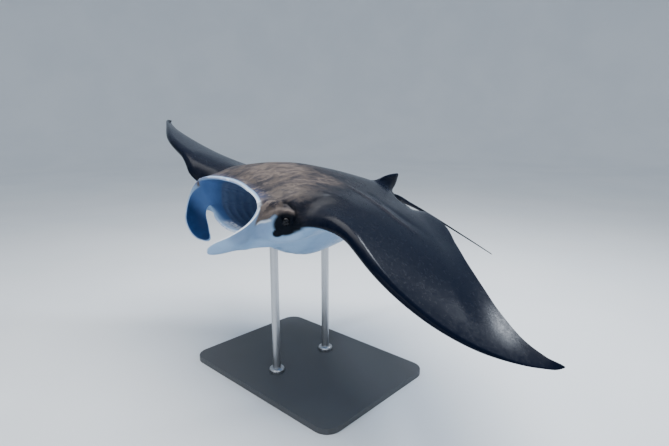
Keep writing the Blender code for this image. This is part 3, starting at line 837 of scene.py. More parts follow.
    def half(self, side: Side) -> tuple[Array, Masks]:
        """All sections of one side of the flat animal, with the lobe's own places.

        Args:
            side: Which side.

        Returns:
            Points as columns by rows by x, y, z, and masks as columns by rows.
        """
        grid, form = self.grid, self.form
        fronts, rears = self.places()
        mouth = self.mouth_paths()
        sides = self.side_paths(fronts, rears[grid.first_side:])
        lobe, masks = self.lobe_paths(side, mouth[-1], sides[0])
        paths = np.concatenate([mouth, lobe[1:-1], sides])
        back_steps = spaced(grid.back_rows, self.back_density)
        belly_steps = spaced(grid.belly_rows, self.belly_density)
        halves = []
        for upper, steps in ((True, back_steps), (False, belly_steps)):
            start = paths[:, 0] if upper else paths[:, -1]
            way = rears - start[:, :2]
            x = start[:, :1] + way[:, :1] * steps
            y = start[:, 1:2] + way[:, 1:] * steps
            z = form.heights(x, y)[0 if upper else 1]
            distance = np.linalg.norm(way, axis=1)[:, None] * steps
            z = z + (start[:, 2:] - z[:, :1]) * (1 - smooth(0.0, self.start_blend, distance))
            line = np.stack([x, y, z], axis=-1)
            begin = self.share(fronts, rears[grid.first_side:], upper)[:, None]
            line[grid.first_side:] = self.side_points(
                fronts, rears[grid.first_side:], begin + (1 - begin) * steps, np.array(upper)
            )
            line[:, 0] = start
            halves.append(line)
        points = np.concatenate([halves[0][:, :0:-1], paths, halves[1][:, 1:]], axis=1)
        shape = points.shape[:2]
        spread = {name: np.zeros(shape) for name in masks}
        spread["lobe_edge"] += 1.0
        rows = slice(grid.front_start, grid.front_end + 1)
        columns = slice(grid.mouth_columns, grid.first_side + 1)
        for name, mask in masks.items():
            spread[name][columns, rows] = mask
        return points, spread

    def section_distance(self, points: Array) -> Array:
        """Signed distance along each section from its foremost line.

        Args:
            points: Points, columns by rows.

        Returns:
            Distances, positive towards the belly.
        """
        grid = self.grid
        step = np.linalg.norm(np.diff(points, axis=1), axis=-1)
        length = np.concatenate([np.zeros((len(points), 1)), np.cumsum(step, axis=1)], axis=1)
        middle = grid.front_start + grid.front_rows // 2
        return length - length[:, middle:middle + 1]

    def masks_of(self, points: Array, lobe: Masks) -> Masks:
        """Masks of the finish on one side, from places on the flat animal and on the lobe.

        dark is the blackish back, slate the inner lobe face, mouth the hollow of the mouth,
        rim the white edge of lips and lobes, patch the dark skin round the eye, and lobe_t
        the share of the way along a lobe.

        Args:
            points: Points of the flat side.
            lobe: The lobe's own places.

        Returns:
            Masks from 0 to 1, columns by rows.
        """
        grid = self.grid
        shape = points.shape[:2]
        column = np.arange(shape[0])[:, None] + np.zeros(shape)
        row = np.arange(shape[1])[None, :] + np.zeros(shape)
        y, z = points[..., 1], points[..., 2]
        on_path = (row >= grid.front_start) & (row <= grid.front_end)
        in_mouth = column <= grid.mouth_columns
        on_lobe = (column > grid.mouth_columns) & (column < grid.first_side)
        inner = on_lobe & (lobe["lobe_face"] > 0) & on_path
        outer = on_lobe & (lobe["lobe_face"] <= 0) & on_path
        beside = column >= grid.first_side
        distance = self.section_distance(points)
        dark = np.where(row < grid.front_start, 1.0, 0.0)
        under = 0.004 + 0.020 * smooth(0.34, 0.55, points[..., 0])
        dark = np.where(beside, smooth(0.006, -0.006, distance - under), dark)
        t, b = lobe["lobe_t"], lobe["lobe_b"]
        root = smooth(0.22, 0.10, t) * smooth(-0.080, -0.060, z)
        dark = np.where(outer, root, dark)
        root_top = smooth(0.90, 0.96, b) * smooth(0.10, 0.05, t)
        dark = np.where(inner, root_top * smooth(-0.080, -0.060, z), dark)
        mouth = np.where(
            in_mouth & on_path,
            smooth(0.0, 5.0, row - grid.front_start - grid.rim_rows + 1)
            * smooth(0.0, 5.0, grid.front_end - grid.rim_rows + 1 - row),
            0.0,
        )
        slate = np.where(inner, smooth(0.004, 0.008, lobe["lobe_edge"]), 0.0)
        slate = np.where(in_mouth, mouth, slate * (1 - root_top))
        rim = self.rim_mask(points, lobe)
        side_view = np.stack([y, z], axis=-1)
        patch = np.linalg.norm((side_view - np.array(self.patch_centre)) / self.patch_radii, axis=-1)
        corner = np.linalg.norm(side_view - np.array(self.patch_corner), axis=-1)
        patch = np.minimum(patch, corner / self.patch_corner_radius)
        patch = smooth(1.15, 0.85, patch) * (beside & (points[..., 0] < 0.42))
        below = z - curve(self.pale_side, y)
        dark = dark * (1 - smooth(0.008, -0.008, below) * smooth(0.11, 0.10, y) * beside)
        return {"dark": dark, "mouth": mouth, "slate": slate, "rim": rim, "patch": patch, "lobe_t": t}

    def rim_mask(self, points: Array, lobe: Masks) -> Array:
        """Mask of the white rims, from the distance to a path over the crests.

        The path follows the crest of the upper lip and then the edge of the lobe, where the
        rim is slimmer; a second one follows the lower lip between the lobes. A white spot
        covers the corner of the mouth, where the lip meets the lobe.

        Args:
            points: Points of the flat side.
            lobe: The lobe's own places.

        Returns:
            The mask, columns by rows.
        """
        grid = self.grid
        mouth, middle = grid.mouth_columns, grid.mouth_columns + grid.lobe_columns // 2
        crest, low_crest = grid.front_start + grid.rim_rows // 2, grid.front_end - grid.rim_rows // 2
        rows = np.arange(points.shape[1])
        edge = (lobe["lobe_t"][middle] > 0.06) & (rows > crest)
        path = np.concatenate([points[:mouth + 1, crest], points[middle, edge]])
        low_path = points[:mouth + 1, low_crest]
        near = points[:grid.first_side + 4]
        t, b = lobe["lobe_t"][:len(near)], lobe["lobe_b"][:len(near)]
        fade = np.where(t > 0.02, smooth(-0.6, 0.1, b), 1.0)
        slim = self.rim_width * (1 - self.rim_slimming * smooth(0.02, 0.30, t))
        upper = smooth(slim, 0.45 * slim, path_distance(path, near)) * fade
        lower = smooth(self.rim_width, 0.5 * self.rim_width, path_distance(low_path, near))
        lower = 0.8 * lower * smooth(0.155, 0.12, near[..., 0])
        away = np.linalg.norm(near - np.array(self.mouth_corner), axis=-1)
        corner = 0.9 * hump(away, self.mouth_corner_width)
        mask = np.zeros(points.shape[:2])
        mask[:len(near)] = np.maximum(np.maximum(upper, lower), corner)
        return mask

    def raise_dorsal_fin(self, points: Array) -> Array:
        """Draw the middle of the back up into the dorsal fin.

        The fin is ruled between its base line and its outline, both followed by the same
        share of the way from front to rear. The columns near the midline climb it, and its
        half thickness falls as the root of what is left of the climb.

        Args:
            points: Points of one flat side.

        Returns:
            The points with the fin's half raised.
        """
        moved = points.copy()
        part = moved[:self.dorsal_columns + 1, :self.grid.front_start]
        y = part[..., 1]
        start, end = self.dorsal_base
        share = (y - start) / (end - start)
        inside = (share > 0) & (share < 1)
        climb = 1 - np.arange(self.dorsal_columns + 1)[:, None] / self.dorsal_columns + 0 * y
        outline = along(self.dorsal_outline, np.clip(share, 0, 1) ** 0.9)
        lifted = climb ** 1.15
        body = self.dorsal_half_thickness * (1.2 - np.clip(share, 0, 1)) * np.sqrt(1 - climb)
        spread = smooth(0.45, 0.0, climb)
        raised = np.stack([
            body * (1 - spread) + part[..., 0] * spread,
            y + (outline[..., 0] - y) * lifted,
            part[..., 2] + (outline[..., 1] - part[..., 2]) * lifted,
        ], axis=-1)
        part[:] = np.where(inside[..., None], raised, part)
        return moved

    def draw_pelvic_fin(self, points: Array) -> Array:
        """Draw the thin rear edge beside the tail out into a rounded pelvic fin.

        The end of each section near the tail is moved back and out by a half ellipse of the
        rear edge's distance from the midline. The rear edge beside the tail hangs a little
        lower than the tail's root.

        Args:
            points: Points of one flat side.

        Returns:
            The points with the fin drawn out.
        """
        moved = points.copy()
        rear_x = points[:, :1, 0]
        before = points[:, :1, 1] - points[..., 1]
        across = (rear_x - self.pelvic_centre) / self.pelvic_half_width
        bump = np.sqrt(np.maximum(0.0, 1 - across ** 2)) * smooth(*self.pelvic_start, rear_x)
        near = smooth(self.pelvic_length, 0.0, before)
        moved[..., 2] += curve(self.rear_drop, rear_x) * smooth(0.20, 0.0, before)
        moved[..., 1] += self.pelvic_reach * bump * near
        moved[..., 0] += 0.25 * self.pelvic_reach * bump * near
        level = self.pelvic_level + self.pelvic_slope * (rear_x - self.pelvic_level_place)
        over = np.where(np.arange(points.shape[1])[None, :] < self.grid.front_start, 1, -1)
        target = level + over * self.pelvic_half_thickness
        moved[..., 2] += bump * smooth(0.06, 0.0, before) * (target - moved[..., 2])
        return moved

    def sides(self) -> tuple[Array, Array, Masks]:
        """Both bent sides joined at the midline.

        Returns:
            Bent points and flat points, columns by rows, and the masks.
        """
        bent, flat, masks = [], [], []
        for side in (Side.RIGHT, Side.LEFT):
            points, lobe = self.half(side)
            own = self.masks_of(points, lobe)
            points = self.draw_pelvic_fin(self.raise_dorsal_fin(points))
            order = slice(None, 0, -1) if side is Side.RIGHT else slice(None)
            bent.append(self.form.bend(points, WING_POSES[side], side)[order])
            flat.append((points * (side.value, 1, 1))[order])
            masks.append({name: mask[order] for name, mask in own.items()})
        joined = {name: np.concatenate([masks[0][name], masks[1][name]]) for name in masks[0]}
        return np.concatenate(bent), np.concatenate(flat), joined

    def tail_mesh(self, ring: Array, ring_points: Array, first: int) -> tuple[Array, Array]:
        """The whip tail: rings that turn from the rear edge's flat ring to circles.

        Args:
            ring: Point numbers of the body's open ring, over and then under.
            ring_points: Their places.
            first: Number of the first new point.

        Returns:
            New points, and quads that start at the body's ring.
        """
        count = len(ring)
        half = count // 2
        share = np.linspace(0.0, 1.0, self.tail_rings + 1)[1:] ** self.tail_spacing
        start = ring_points.mean(axis=0)
        fine = along(self.tail_line, np.linspace(0, 1, 801))
        behind = fine[fine[:, 1] > start[1] - 0.002]
        length = np.concatenate([[0], np.cumsum(np.linalg.norm(np.diff(behind, axis=0), axis=1))])
        place = share * length[-1]
        centre = np.stack([np.interp(place, length, column) for column in behind.T], axis=1)
        ahead = unit(np.gradient(centre, axis=0))
        across = unit(np.cross(ahead, (0.0, 0.0, 1.0)))
        up = np.cross(across, ahead)
        over = math.pi * (1 - (np.arange(half) + 0.5) / half)
        turn = np.concatenate([over, -over[::-1]])
        offset = ring_points - start
        blend = smooth(0.0, self.tail_rounding, place)[:, None]
        radius = curve(self.tail_radius, place / length[-1])[:, None]
        local_x = offset[None, :, 0] * (1 - blend) + radius * np.cos(turn) * blend
        local_z = offset[None, :, 2] * (1 - blend) + radius * np.sin(turn) * blend
        centre = centre + (start - centre[0]) * (1 - smooth(0.0, self.tail_centring, place)[:, None])
        points = centre[:, None] + across[:, None] * local_x[..., None] + up[:, None] * local_z[..., None]
        tip = points[-1].mean(axis=0)
        points[-1] = tip + (points[-1] - tip) * self.tail_tip_scale
        numbers = first + np.arange(points.shape[0] * count).reshape(-1, count)
        numbers = np.concatenate([ring[None], numbers])
        closed = np.concatenate([numbers, numbers[:, :1]], axis=1)
        return points.reshape(-1, 3), np.concatenate([grid_quads(closed), end_cap(numbers[-1])])

    def features(self, flat: Array, masks: Masks) -> Masks:
        """Masks of the skin's small forms, each a bell of the distance to a line on the flat animal.

        Args:
            flat: Points of the flat animal.
            masks: Masks of the finish.

        Returns:
            Masks from 0 to 1: the brow over the eye, the groove behind it, the lids and the
            socket, the spiracle, the fold behind the lip, the throat's arches, the wing
            muscle's ridge and furrow, and the gill slits under the body.
        """
        mirrored = np.concatenate([np.abs(flat[:, :1]), flat[:, 1:]], axis=1)
        x, y = mirrored[:, 0], mirrored[:, 1]
        outside = (1 - np.maximum(masks["mouth"], masks["slate"])) * (masks["lobe_t"] < 0.05)
        on_head = outside * smooth(0.22, 0.25, x) * smooth(0.46, 0.40, x)
        side_view = mirrored[:, [1, 2]]
        throat = np.where(masks["mouth"] > 0, flat[:, 1], 0.0)
        eye = np.linalg.norm(mirrored - np.array(self.eye_place), axis=1)
        muscle = smooth(0.16, 0.32, x) * smooth(0.72, 0.46, x) * masks["dark"]
        behind = y - self.gill_start
        row = (behind + 0.9 * (x - 0.14) ** 2) / self.gill_gap
        slit = np.abs(np.mod(row, 1.0) - 0.5) * self.gill_gap
        gills = smooth(0.05, 0.075, x) * smooth(0.215, 0.185, x) * (1 - masks["dark"]) * outside
        gills = gills * smooth(0.0, 0.01, behind)
        gills = gills * smooth(0.0, -0.01, behind - self.gill_count * self.gill_gap)
        return {
            "brow": hump(path_distance(self.brow_line, side_view), 0.011) * on_head,
            "groove": hump(path_distance(self.groove_line, side_view), 0.007) * on_head,
            "lids": hump(eye - 0.027, 0.005) * on_head,
            "socket": smooth(0.024, 0.017, eye) * on_head,
            "spiracle": hump(np.linalg.norm(mirrored - np.array(self.spiracle), axis=1), 0.010) * on_head,
            "fold": hump(path_distance(self.fold_line, side_view), 0.005) * on_head,
            "arches": np.abs(np.sin(math.pi * (throat - 0.135) / 0.042)) ** 8
            * masks["mouth"] * smooth(0.125, 0.16, throat) * smooth(0.40, 0.34, throat),
            "ridge": hump(path_distance(self.ridge_line, mirrored), 0.020) * muscle,
            "furrow": hump(path_distance(self.furrow_line, mirrored), 0.030) * muscle,
            "gills": hump(slit, 0.007) * gills,
        }

    def joined(self) -> tuple[Array, Array, Array, Masks]:
        """Both sides closed at the rear edge and the wing tips, with the tail stitched on.

        The cap of the first column is turned over, so that all faces point the same way.

        Returns:
            Bent points, flat points, quads, and the masks by point.
        """
        bent, flat, masks = self.sides()
        columns, rows = bent.shape[:2]
        middle = self.grid.columns - 1
        numbers = np.arange(columns * rows).reshape(columns, rows)
        quads = [grid_quads(numbers)]
        rear = np.stack([numbers[:, -1], numbers[:, 0]], axis=1)
        m = self.tail_columns
        quads.append(grid_quads(rear[:middle - m + 1]))
        quads.append(grid_quads(rear[middle + m:]))
        quads.append(end_cap(numbers[0])[:, ::-1])
        quads.append(end_cap(numbers[-1]))
        near = numbers[middle - m:middle + m + 1]
        ring = np.concatenate([near[:, 0], near[::-1, -1]])
        points, flat = bent.reshape(-1, 3), flat.reshape(-1, 3)
        tail, tail_quads = self.tail_mesh(ring, points[ring], len(points))
        quads.append(tail_quads)
        for name, mask in masks.items():
            on_tail = np.full(len(tail), 1.0 if name == "dark" else 0.0)
            masks[name] = np.concatenate([mask.reshape(-1), on_tail])
        return np.concatenate([points, tail]), np.concatenate([flat, tail]), np.concatenate(quads), masks

    def settle(self, points: Array, flat: Array, quads: Array, masks: Masks) -> Array:
        """Relax the skin where parts meet: at the lobes' roots, the tail's root and the dorsal fin's foot.

        Args:
            points: Bent points.
            flat: Their places on the flat animal.
            quads: The skin's quads.
            masks: Masks of the finish.

        Returns:
            The relaxed points.
        """
        edges = quad_edges(quads)
        x, y, z = np.abs(flat[:, 0]), flat[:, 1], flat[:, 2]
        root = smooth(0.40, 0.12, masks["lobe_t"]) * smooth(0.10, 0.15, x) * smooth(0.33, 0.27, x)
        root = root * smooth(0.15, 0.10, y) * (1 - 0.85 * masks["rim"])
        tail_root = hump(y - 1.315, 0.035) * smooth(0.07, 0.04, x) * smooth(0.13, 0.11, z)
        fin_root = hump(y - 1.16, 0.12, 6) * smooth(0.036, 0.018, x) * smooth(0.165, 0.145, z)
        weight = np.clip(0.5 * tail_root + 0.4 * fin_root, 0.0, 0.6)
        points = relax(points, edges, weight, self.fin_rounds)
        return relax(points, edges, 0.6 * root, self.root_rounds)

    def build(self) -> tuple[Array, Array, Masks]:
        """The whole skin, with its small forms pushed out along its normals.

        Returns:
            Points over the stand, quads, and the masks and flat places by point.
        """
        points, flat, quads, masks = self.joined()
        points = self.settle(points, flat, quads, masks)
        if signed_volume(points, quads) < 0:
            quads = quads[:, ::-1]
        features = self.features(flat, masks)
        height = sum(self.feature_height[name] * mask for name, mask in features.items())
        points = points + point_normals(points, quads) * height[:, None]
        masks.update({name: features[name] for name in self.coloured_features}, flat=flat)
        return self.form.to_stand(points), quads, masks


# ---------------------------------------------------------------- Blender objects


def mesh_object(name: str, points: Array, faces: Array | list, material: Material) -> bpy.types.Object:
    """An object with a smooth shaded mesh.

    Args:
        name: Name of the piece.
        points: Its points in the world.
        faces: Its faces as point numbers.
        material: Its finish.

    Returns:
        The linked object, at the origin.
    """
    mesh = bpy.data.meshes.new(name)
    rows = faces.tolist() if isinstance(faces, np.ndarray) else faces
    mesh.from_pydata(np.asarray(points, float).tolist(), [], rows)
    mesh.validate()
    mesh.materials.append(material)
    mesh.shade_smooth()
    item = bpy.data.objects.new(name, mesh)
    bpy.context.scene.collection.objects.link(item)
    return item


def add_masks(item: bpy.types.Object, masks: Masks) -> None:
    """Store masks on a mesh's points: one number each, or three for a place."""
    for name, values in masks.items():
        kind, key = ("FLOAT_VECTOR", "vector") if values.ndim == 2 else ("FLOAT", "value")
        attribute = item.data.attributes.new(name, kind, "POINT")
        attribute.data.foreach_set(key, values.astype(np.float32).ravel())


# ---------------------------------------------------------------- shader maths


@dataclass(frozen=True)
class Value:
    """A socket that carries a number over a surface; its operators add Math nodes."""

    sheet: "Sheet"
    socket: Socket

    def _with(self, operation: str, *others: "Value | float") -> "Value":
        """This value and others put through a Math node."""
        inputs = {index: item for index, item in enumerate((self, *others))}
        return self.sheet.value("ShaderNodeMath", {"operation": operation}, inputs)

    def __add__(self, other: "Value | float") -> "Value":
        """The sum."""
        return self._with("ADD", other)

    __radd__ = __add__

    def __mul__(self, other: "Value | float") -> "Value":
        """The product."""
        return self._with("MULTIPLY", other)

    __rmul__ = __mul__

    def __sub__(self, other: "Value | float") -> "Value":
        """The difference."""
        return self._with("SUBTRACT", other)

    def __rsub__(self, other: float) -> "Value":
        """A number less this value."""
        return self._with("MULTIPLY_ADD", -1.0, other)

    def __truediv__(self, other: "Value | float") -> "Value":
        """The quotient."""
        return self._with("DIVIDE", other)

    def __pow__(self, power: float) -> "Value":
        """This value to a power."""
        return self._with("POWER", power)

    def __abs__(self) -> "Value":
        """The size without the sign."""
        return self._with("ABSOLUTE")


    def most(self, other: "Value | float") -> "Value":
        """The larger of two."""
        return self._with("MAXIMUM", other)

    def step(self, start: float, end: float, low: float = 0.0, high: float = 1.0) -> "Value":
        """A smooth rise from low to high between start and end; start above end falls instead.

        Args:
            start: Value where the change begins.
            end: Value where it is complete.
            low: Result before the change.
            high: Result after it.

        Returns:
            The result, held between low and high.
        """
        if start > end:
            start, end, low, high = end, start, high, low
        inputs = {"Value": self, "From Min": start, "From Max": end, "To Min": low, "To Max": high}
        return self.sheet.value("ShaderNodeMapRange", {"interpolation_type": "SMOOTHSTEP"}, inputs)


class Sheet:
    """A material's node tree, with one method for any node and short ones for common uses."""

    def __init__(self, name: str) -> None:
        """Start a material.

        Args:
            name: Name of the material.
        """
        self.material = bpy.data.materials.new(name)
        self.material.use_nodes = True
        self.tree = self.material.node_tree
        self.surface = self.tree.nodes["Principled BSDF"]

    def feed(self, socket: Socket, item: object) -> None:
        """Link a value or socket into an input, or set a constant on it.

        Args:
            socket: The input.
            item: What it gets; a colour gets its fourth number here.
        """
        source = item.socket if isinstance(item, Value) else item
        if isinstance(source, Socket):
            self.tree.links.new(source, socket)
        elif isinstance(source, tuple) and len(source) == 3 and socket.type == "RGBA":
            socket.default_value = (*source, 1.0)
        else:
            socket.default_value = source

    def node(self, kind: str, settings: Settings, inputs: Inputs) -> bpy.types.Node:
        """Add a node.

        Args:
            kind: Blender's name of its type.
            settings: Properties by name, set first.
            inputs: Constants or links by input name or number.

        Returns:
            The node.
        """
        node = self.tree.nodes.new(kind)
        for name, setting in settings.items():
            setattr(node, name, setting)
        for name, item in inputs.items():
            self.feed(node.inputs[name], item)
        return node

    def value(self, kind: str, settings: Settings, inputs: Inputs, output: str | int = 0) -> Value:
        """Add a node and wrap one of its outputs."""
        return Value(self, self.node(kind, settings, inputs).outputs[output])

    def mask(self, name: str) -> Value:
        """A number stored on the mesh's points."""
        return self.value("ShaderNodeAttribute", {"attribute_name": name}, {}, "Fac")

    def flat_place(self) -> Socket:
        """The place on the flat animal, stored on the mesh's points."""
        return self.node("ShaderNodeAttribute", {"attribute_name": "flat"}, {}).outputs["Vector"]

    def object_place(self) -> Socket:
        """The place on the object itself."""
        return self.node("ShaderNodeTexCoord", {}, {}).outputs["Object"]

    def stretched(self, place: Socket, scale: Point, turn: Point = (0, 0, 0)) -> Socket:
        """A place turned and scaled on each axis, for patterns with a grain."""
        inputs = {"Vector": place, "Scale": scale, "Rotation": turn}
        return self.node("ShaderNodeMapping", {}, inputs).outputs[0]

    def noise(
        self, place: Socket, scale: float, detail: float = 3.0, rough: float = 0.5, bend: float = 0.0
    ) -> Value:
        """Cloudy noise round one half.

        Args:
            place: Where it is read.
            scale: Features to the metre.
            detail: Number of finer layers.
            rough: How strong the finer layers are.
            bend: How far it is distorted.

        Returns:
            The noise.
        """
        inputs = {"Vector": place, "Scale": scale, "Detail": detail, "Roughness": rough, "Distortion": bend}
        return self.value("ShaderNodeTexNoise", {}, inputs)

    def cells(self, place: Socket, scale: float) -> Value:
        """Distances to the nearest point of a scattered pattern."""
        return self.value("ShaderNodeTexVoronoi", {}, {"Vector": place, "Scale": scale})

    def split(self, place: Socket) -> tuple[Value, Value, Value]:
        """The three numbers of a place."""
        node = self.node("ShaderNodeSeparateXYZ", {}, {0: place})
        return tuple(Value(self, output) for output in node.outputs)

    def mix(self, share: Value | float, first: Paint, second: Paint) -> Socket:
        """A colour on the way from first to second.

        Args:
            share: How far along the way, 0 to 1.
            first: Colour at 0.
            second: Colour at 1.

        Returns:
            The colour.
        """
        node = self.tree.nodes.new("ShaderNodeMix")
        node.data_type = "RGBA"
        colours = [socket for socket in node.inputs if socket.type == "RGBA"]
        self.feed(node.inputs[0], share)
        self.feed(colours[0], first)
        self.feed(colours[1], second)
        return next(socket for socket in node.outputs if socket.type == "RGBA")

    def bump(self, height: Value, distance: float, strength: float) -> None:
        """Feed the surface's normal from a height.

        Args:
            height: The height over the surface.
            distance: Metres that a height of 1 stands for.
            strength: Share of the effect.
        """
        inputs = {"Height": height, "Distance": distance, "Strength": strength}
        node = self.node("ShaderNodeBump", {}, inputs)
        self.feed(self.surface.inputs["Normal"], node.outputs[0])

    def dress(self, **inputs: object) -> Material:
        """Feed the surface's sockets, named with _ for each space.

        Args:
            inputs: Constants or links by socket name.

        Returns:
            The material.
        """
        for name, item in inputs.items():
            self.feed(self.surface.inputs[name.replace("_", " ")], item)
        return self.material


def tone(red: int, green: int, blue: int) -> Colour:
    """A colour of 0 to 255 steps as the linear numbers that shaders take."""
    shares = (step / 255 for step in (red, green, blue))
    return tuple(c / 12.92 if c <= 0.04045 else ((c + 0.055) / 1.055) ** 2.4 for c in shares)


# ---------------------------------------------------------------- finishes


@dataclass(frozen=True)
class SkinFields:
    """Places on the flat animal and noises over it, which all parts of the skin's finish share."""

    place: Socket
    x: Value
    y: Value
    z: Value
    across: Value
    cloud: Value
    fine: Value
    mottle: Value
    streaks: Value
    wrinkles: Value

    @classmethod
    def on(cls, s: Sheet) -> "SkinFields":
        """The fields as nodes of a sheet.

        Args:
            s: The material's sheet.

        Returns:
            The fields.
        """
        place = s.flat_place()
        x, y, z = s.split(place)
        return cls(
            place=place, x=x, y=y, z=z, across=abs(x),
            cloud=s.noise(place, 4.5, 4.0, 0.6),
            fine=s.noise(place, 60.0, 4.0, 0.6),
            mottle=s.noise(s.stretched(place, (1.5, 0.8, 1.3), (0.0, 0.0, 0.3)), 13.0, 6.0, 0.66, 0.7),
            streaks=s.noise(s.stretched(place, (2.8, 0.8, 2.0), (0.0, 0.0, 0.5)), 6.5, 3.0, 0.55, 0.6),
            wrinkles=s.noise(s.stretched(place, (1.0, 0.10, 1.0)), 75.0, 2.0, 0.6, 0.3),
        )


@dataclass(frozen=True)
class SkinFinish:
    """Skin of the animal: blackish back, mottled brown head, white belly and lips."""

    wing: Colour = tone(4, 11, 27)
    back: Colour = tone(16, 20, 29)
    back_light: Colour = tone(33, 34, 41)
    head: Colour = tone(46, 44, 49)
    head_light: Colour = tone(72, 65, 62)
    head_dark: Colour = tone(24, 26, 35)
    # Pale streak colour: painted caustic light on the head and painted highlight on the brow, and also the
    # pale wrinkles and mouth corner.
    streak: Colour = tone(108, 97, 91)
    collar: Colour = tone(70, 78, 112)
    belly: Colour = tone(146, 174, 204)
    belly_shade: Colour = tone(98, 130, 168)
    spot: Colour = tone(44, 52, 66)
    rim: Colour = tone(226, 232, 240)
    rim_shade: Colour = tone(150, 166, 206)
    slate: Colour = tone(36, 66, 112)
    slate_dark: Colour = tone(22, 42, 76)
    mouth: Colour = tone(92, 126, 178)
    # Throat colour: darker than the walls, as painted shade deep in the mouth.
    throat: Colour = tone(88, 104, 134)
    arch: Colour = tone(100, 120, 152)
    patch: Colour = tone(4, 9, 18)
    roughness: float = 0.24
    specular: float = 0.06
    relief_height: float = 0.003
    relief_strength: float = 0.6

    def material(self) -> Material:
        """Colour, gloss and bump from the stored masks and from noise on the flat animal.

        Returns:
            The material.
        """
        s = Sheet("skin")
        f = SkinFields.on(s)
        colour = s.mix(1.0 - s.mask("dark"), self.upper_side(s, f), self.under_side(s, f))
        blue = f.y.step(0.10, 0.03) * f.across.step(0.225, 0.245) * f.across.step(0.34, 0.30)
        colour = s.mix(blue * (1.0 - s.mask("dark")) * 0.35, colour, self.collar)
        colour = s.mix(s.mask("fold") * 0.7, colour, self.rim)
        round_eye = s.mix(f.fine.step(0.4, 0.8) * 0.3, self.patch, self.head_dark)
        colour = s.mix(s.mask("patch"), colour, round_eye)
        lobe = s.mix(f.cloud.step(0.35, 0.65), self.slate, self.slate_dark)
        lobe = s.mix(s.mask("lobe_t").step(0.50, 0.05) * 0.55, lobe, self.mouth)
        colour = s.mix(s.mask("slate"), colour, lobe)
        colour = s.mix(s.mask("mouth"), colour, self.inside(s, f))
        edge = s.mix(f.x.step(0.12, -0.06) * f.fine.step(0.65, 0.45) * 0.8, self.rim, self.rim_shade)
        edge = s.mix(f.x.step(-0.18, -0.21) * f.z.step(-0.12, -0.05) * 0.7, edge, self.collar)
        colour = s.mix(s.mask("rim") * f.fine.step(0.25, 0.55, 0.75, 1.0), colour, edge)
        grain = s.noise(f.place, 260.0, 2.0, 0.5)
        near_lip = f.y.step(0.13, 0.05) * s.mask("dark")
        on_head = f.y.step(0.9, 0.5) * f.across.step(0.55, 0.30)
        relief = f.fine * 0.08 + grain * 0.06 + f.mottle * on_head * 0.35 + f.wrinkles * near_lip * 1.2
        s.bump(relief, self.relief_height, self.relief_strength)
        gloss = f.fine.step(0.2, 0.8, self.roughness - 0.06, self.roughness + 0.06)
        gloss = gloss + (f.y + (f.across - 0.20).most(0.0) * 1.6).step(0.80, 0.35) * 0.18
        return s.dress(Base_Color=colour, Roughness=gloss, Specular_IOR_Level=self.specular)

    def upper_side(self, s: Sheet, f: SkinFields) -> Socket:
        """Colour above: black wings, a brownish back, a mottled head with pale streaks of painted caustic
        light, and painted highlights and shade on small forms.

        Args:
            s: The material's sheet.
            f: Places and noises.

        Returns:
            The colour.
        """
        body = (f.across + (f.cloud - 0.5) * 0.25).step(0.62, 0.18) * f.y.step(1.15, 0.75)
        brown = s.mix(f.mottle.step(0.38, 0.62), self.back, self.back_light)
        colour = s.mix(body, s.mix(f.fine.step(0.5, 0.8) * 0.3, self.wing, self.back), brown)
        # Painted highlight: the wing muscle's raised ridge is painted lighter, in the head's colour.
        colour = s.mix(s.mask("ridge") * 0.55 + s.mask("ridge") * f.mottle * 0.3, colour, self.head)
        # Painted shade: the furrow beside the ridge is painted in the near black of the wing.
        colour = s.mix(s.mask("furrow") * 0.7, colour, self.wing)
        away = f.y + (f.across - 0.20).most(0.0) * 2.3 + (f.cloud - 0.5) * 0.30
        skin = s.mix(f.mottle.step(0.42, 0.60), self.head, self.head_light)
        skin = s.mix(f.mottle.step(0.46, 0.36) * 0.8, skin, self.head_dark)
        colour = s.mix(away.step(0.62, 0.30), colour, skin)
        # Pale vein-like lines over the head: painted caustic light, in the streak colour.
        caustic_light = (1.0 - abs(f.streaks * 2.0 - 1.0)) ** 9.0
        caustic_light = caustic_light * f.cloud.step(0.46, 0.60) * away.step(0.75, 0.45)
        colour = s.mix(caustic_light * 0.7, colour, self.streak)
        lip = f.y.step(0.10, 0.03)
        colour = s.mix(lip * 0.55 * f.across.step(0.26, 0.20), colour, self.collar)
        corner = f.y.step(0.065, 0.025) * f.across.step(0.205, 0.235)
        colour = s.mix(corner * 0.55, colour, self.streak)
        rays = f.wrinkles.step(0.54, 0.64) * f.y.step(0.115, 0.060)
        colour = s.mix(rays * 0.75, colour, self.streak)
        # Painted highlight: the raised brow ridge over the eye is painted lighter, in the streak colour.
        colour = s.mix(s.mask("brow") * 0.6, colour, self.streak)
        # Painted shade: the groove behind the eye and the spiracle's opening are painted near black.
        return s.mix(s.mask("groove").most(s.mask("spiracle")) * 0.85, colour, self.patch)

    def under_side(self, s: Sheet, f: SkinFields) -> Socket:
        """Colour below: pale, dusky towards the rear of the wings, with small spots and painted shade in the
        gill slits.

        Args:
            s: The material's sheet.
            f: Places and noises.

        Returns:
            The colour.
        """
        shade = f.cloud.step(0.35, 0.70) * 0.5 + f.fine.step(0.5, 0.8) * 0.15
        colour = s.mix(shade, self.belly, self.belly_shade)
        dusk = (f.across + f.y * 0.6 + (f.cloud - 0.5) * 0.3).step(0.95, 1.75)
        colour = s.mix(dusk * 0.75, colour, self.spot)
        chosen = s.noise(f.place, 3.1, 1.0).step(0.50, 0.56)
        on_belly = f.y.step(0.40, 0.46) * f.y.step(0.98, 0.86) * f.across.step(0.42, 0.34)
        spots = s.cells(f.place, 13.0).step(0.22, 0.15) * chosen * on_belly
        colour = s.mix(spots * 0.9, colour, self.spot)
        # Painted shade: the dented gill slits are painted in the dark spot colour.
        return s.mix(s.mask("gills") ** 2.0 * 0.85, colour, self.spot)

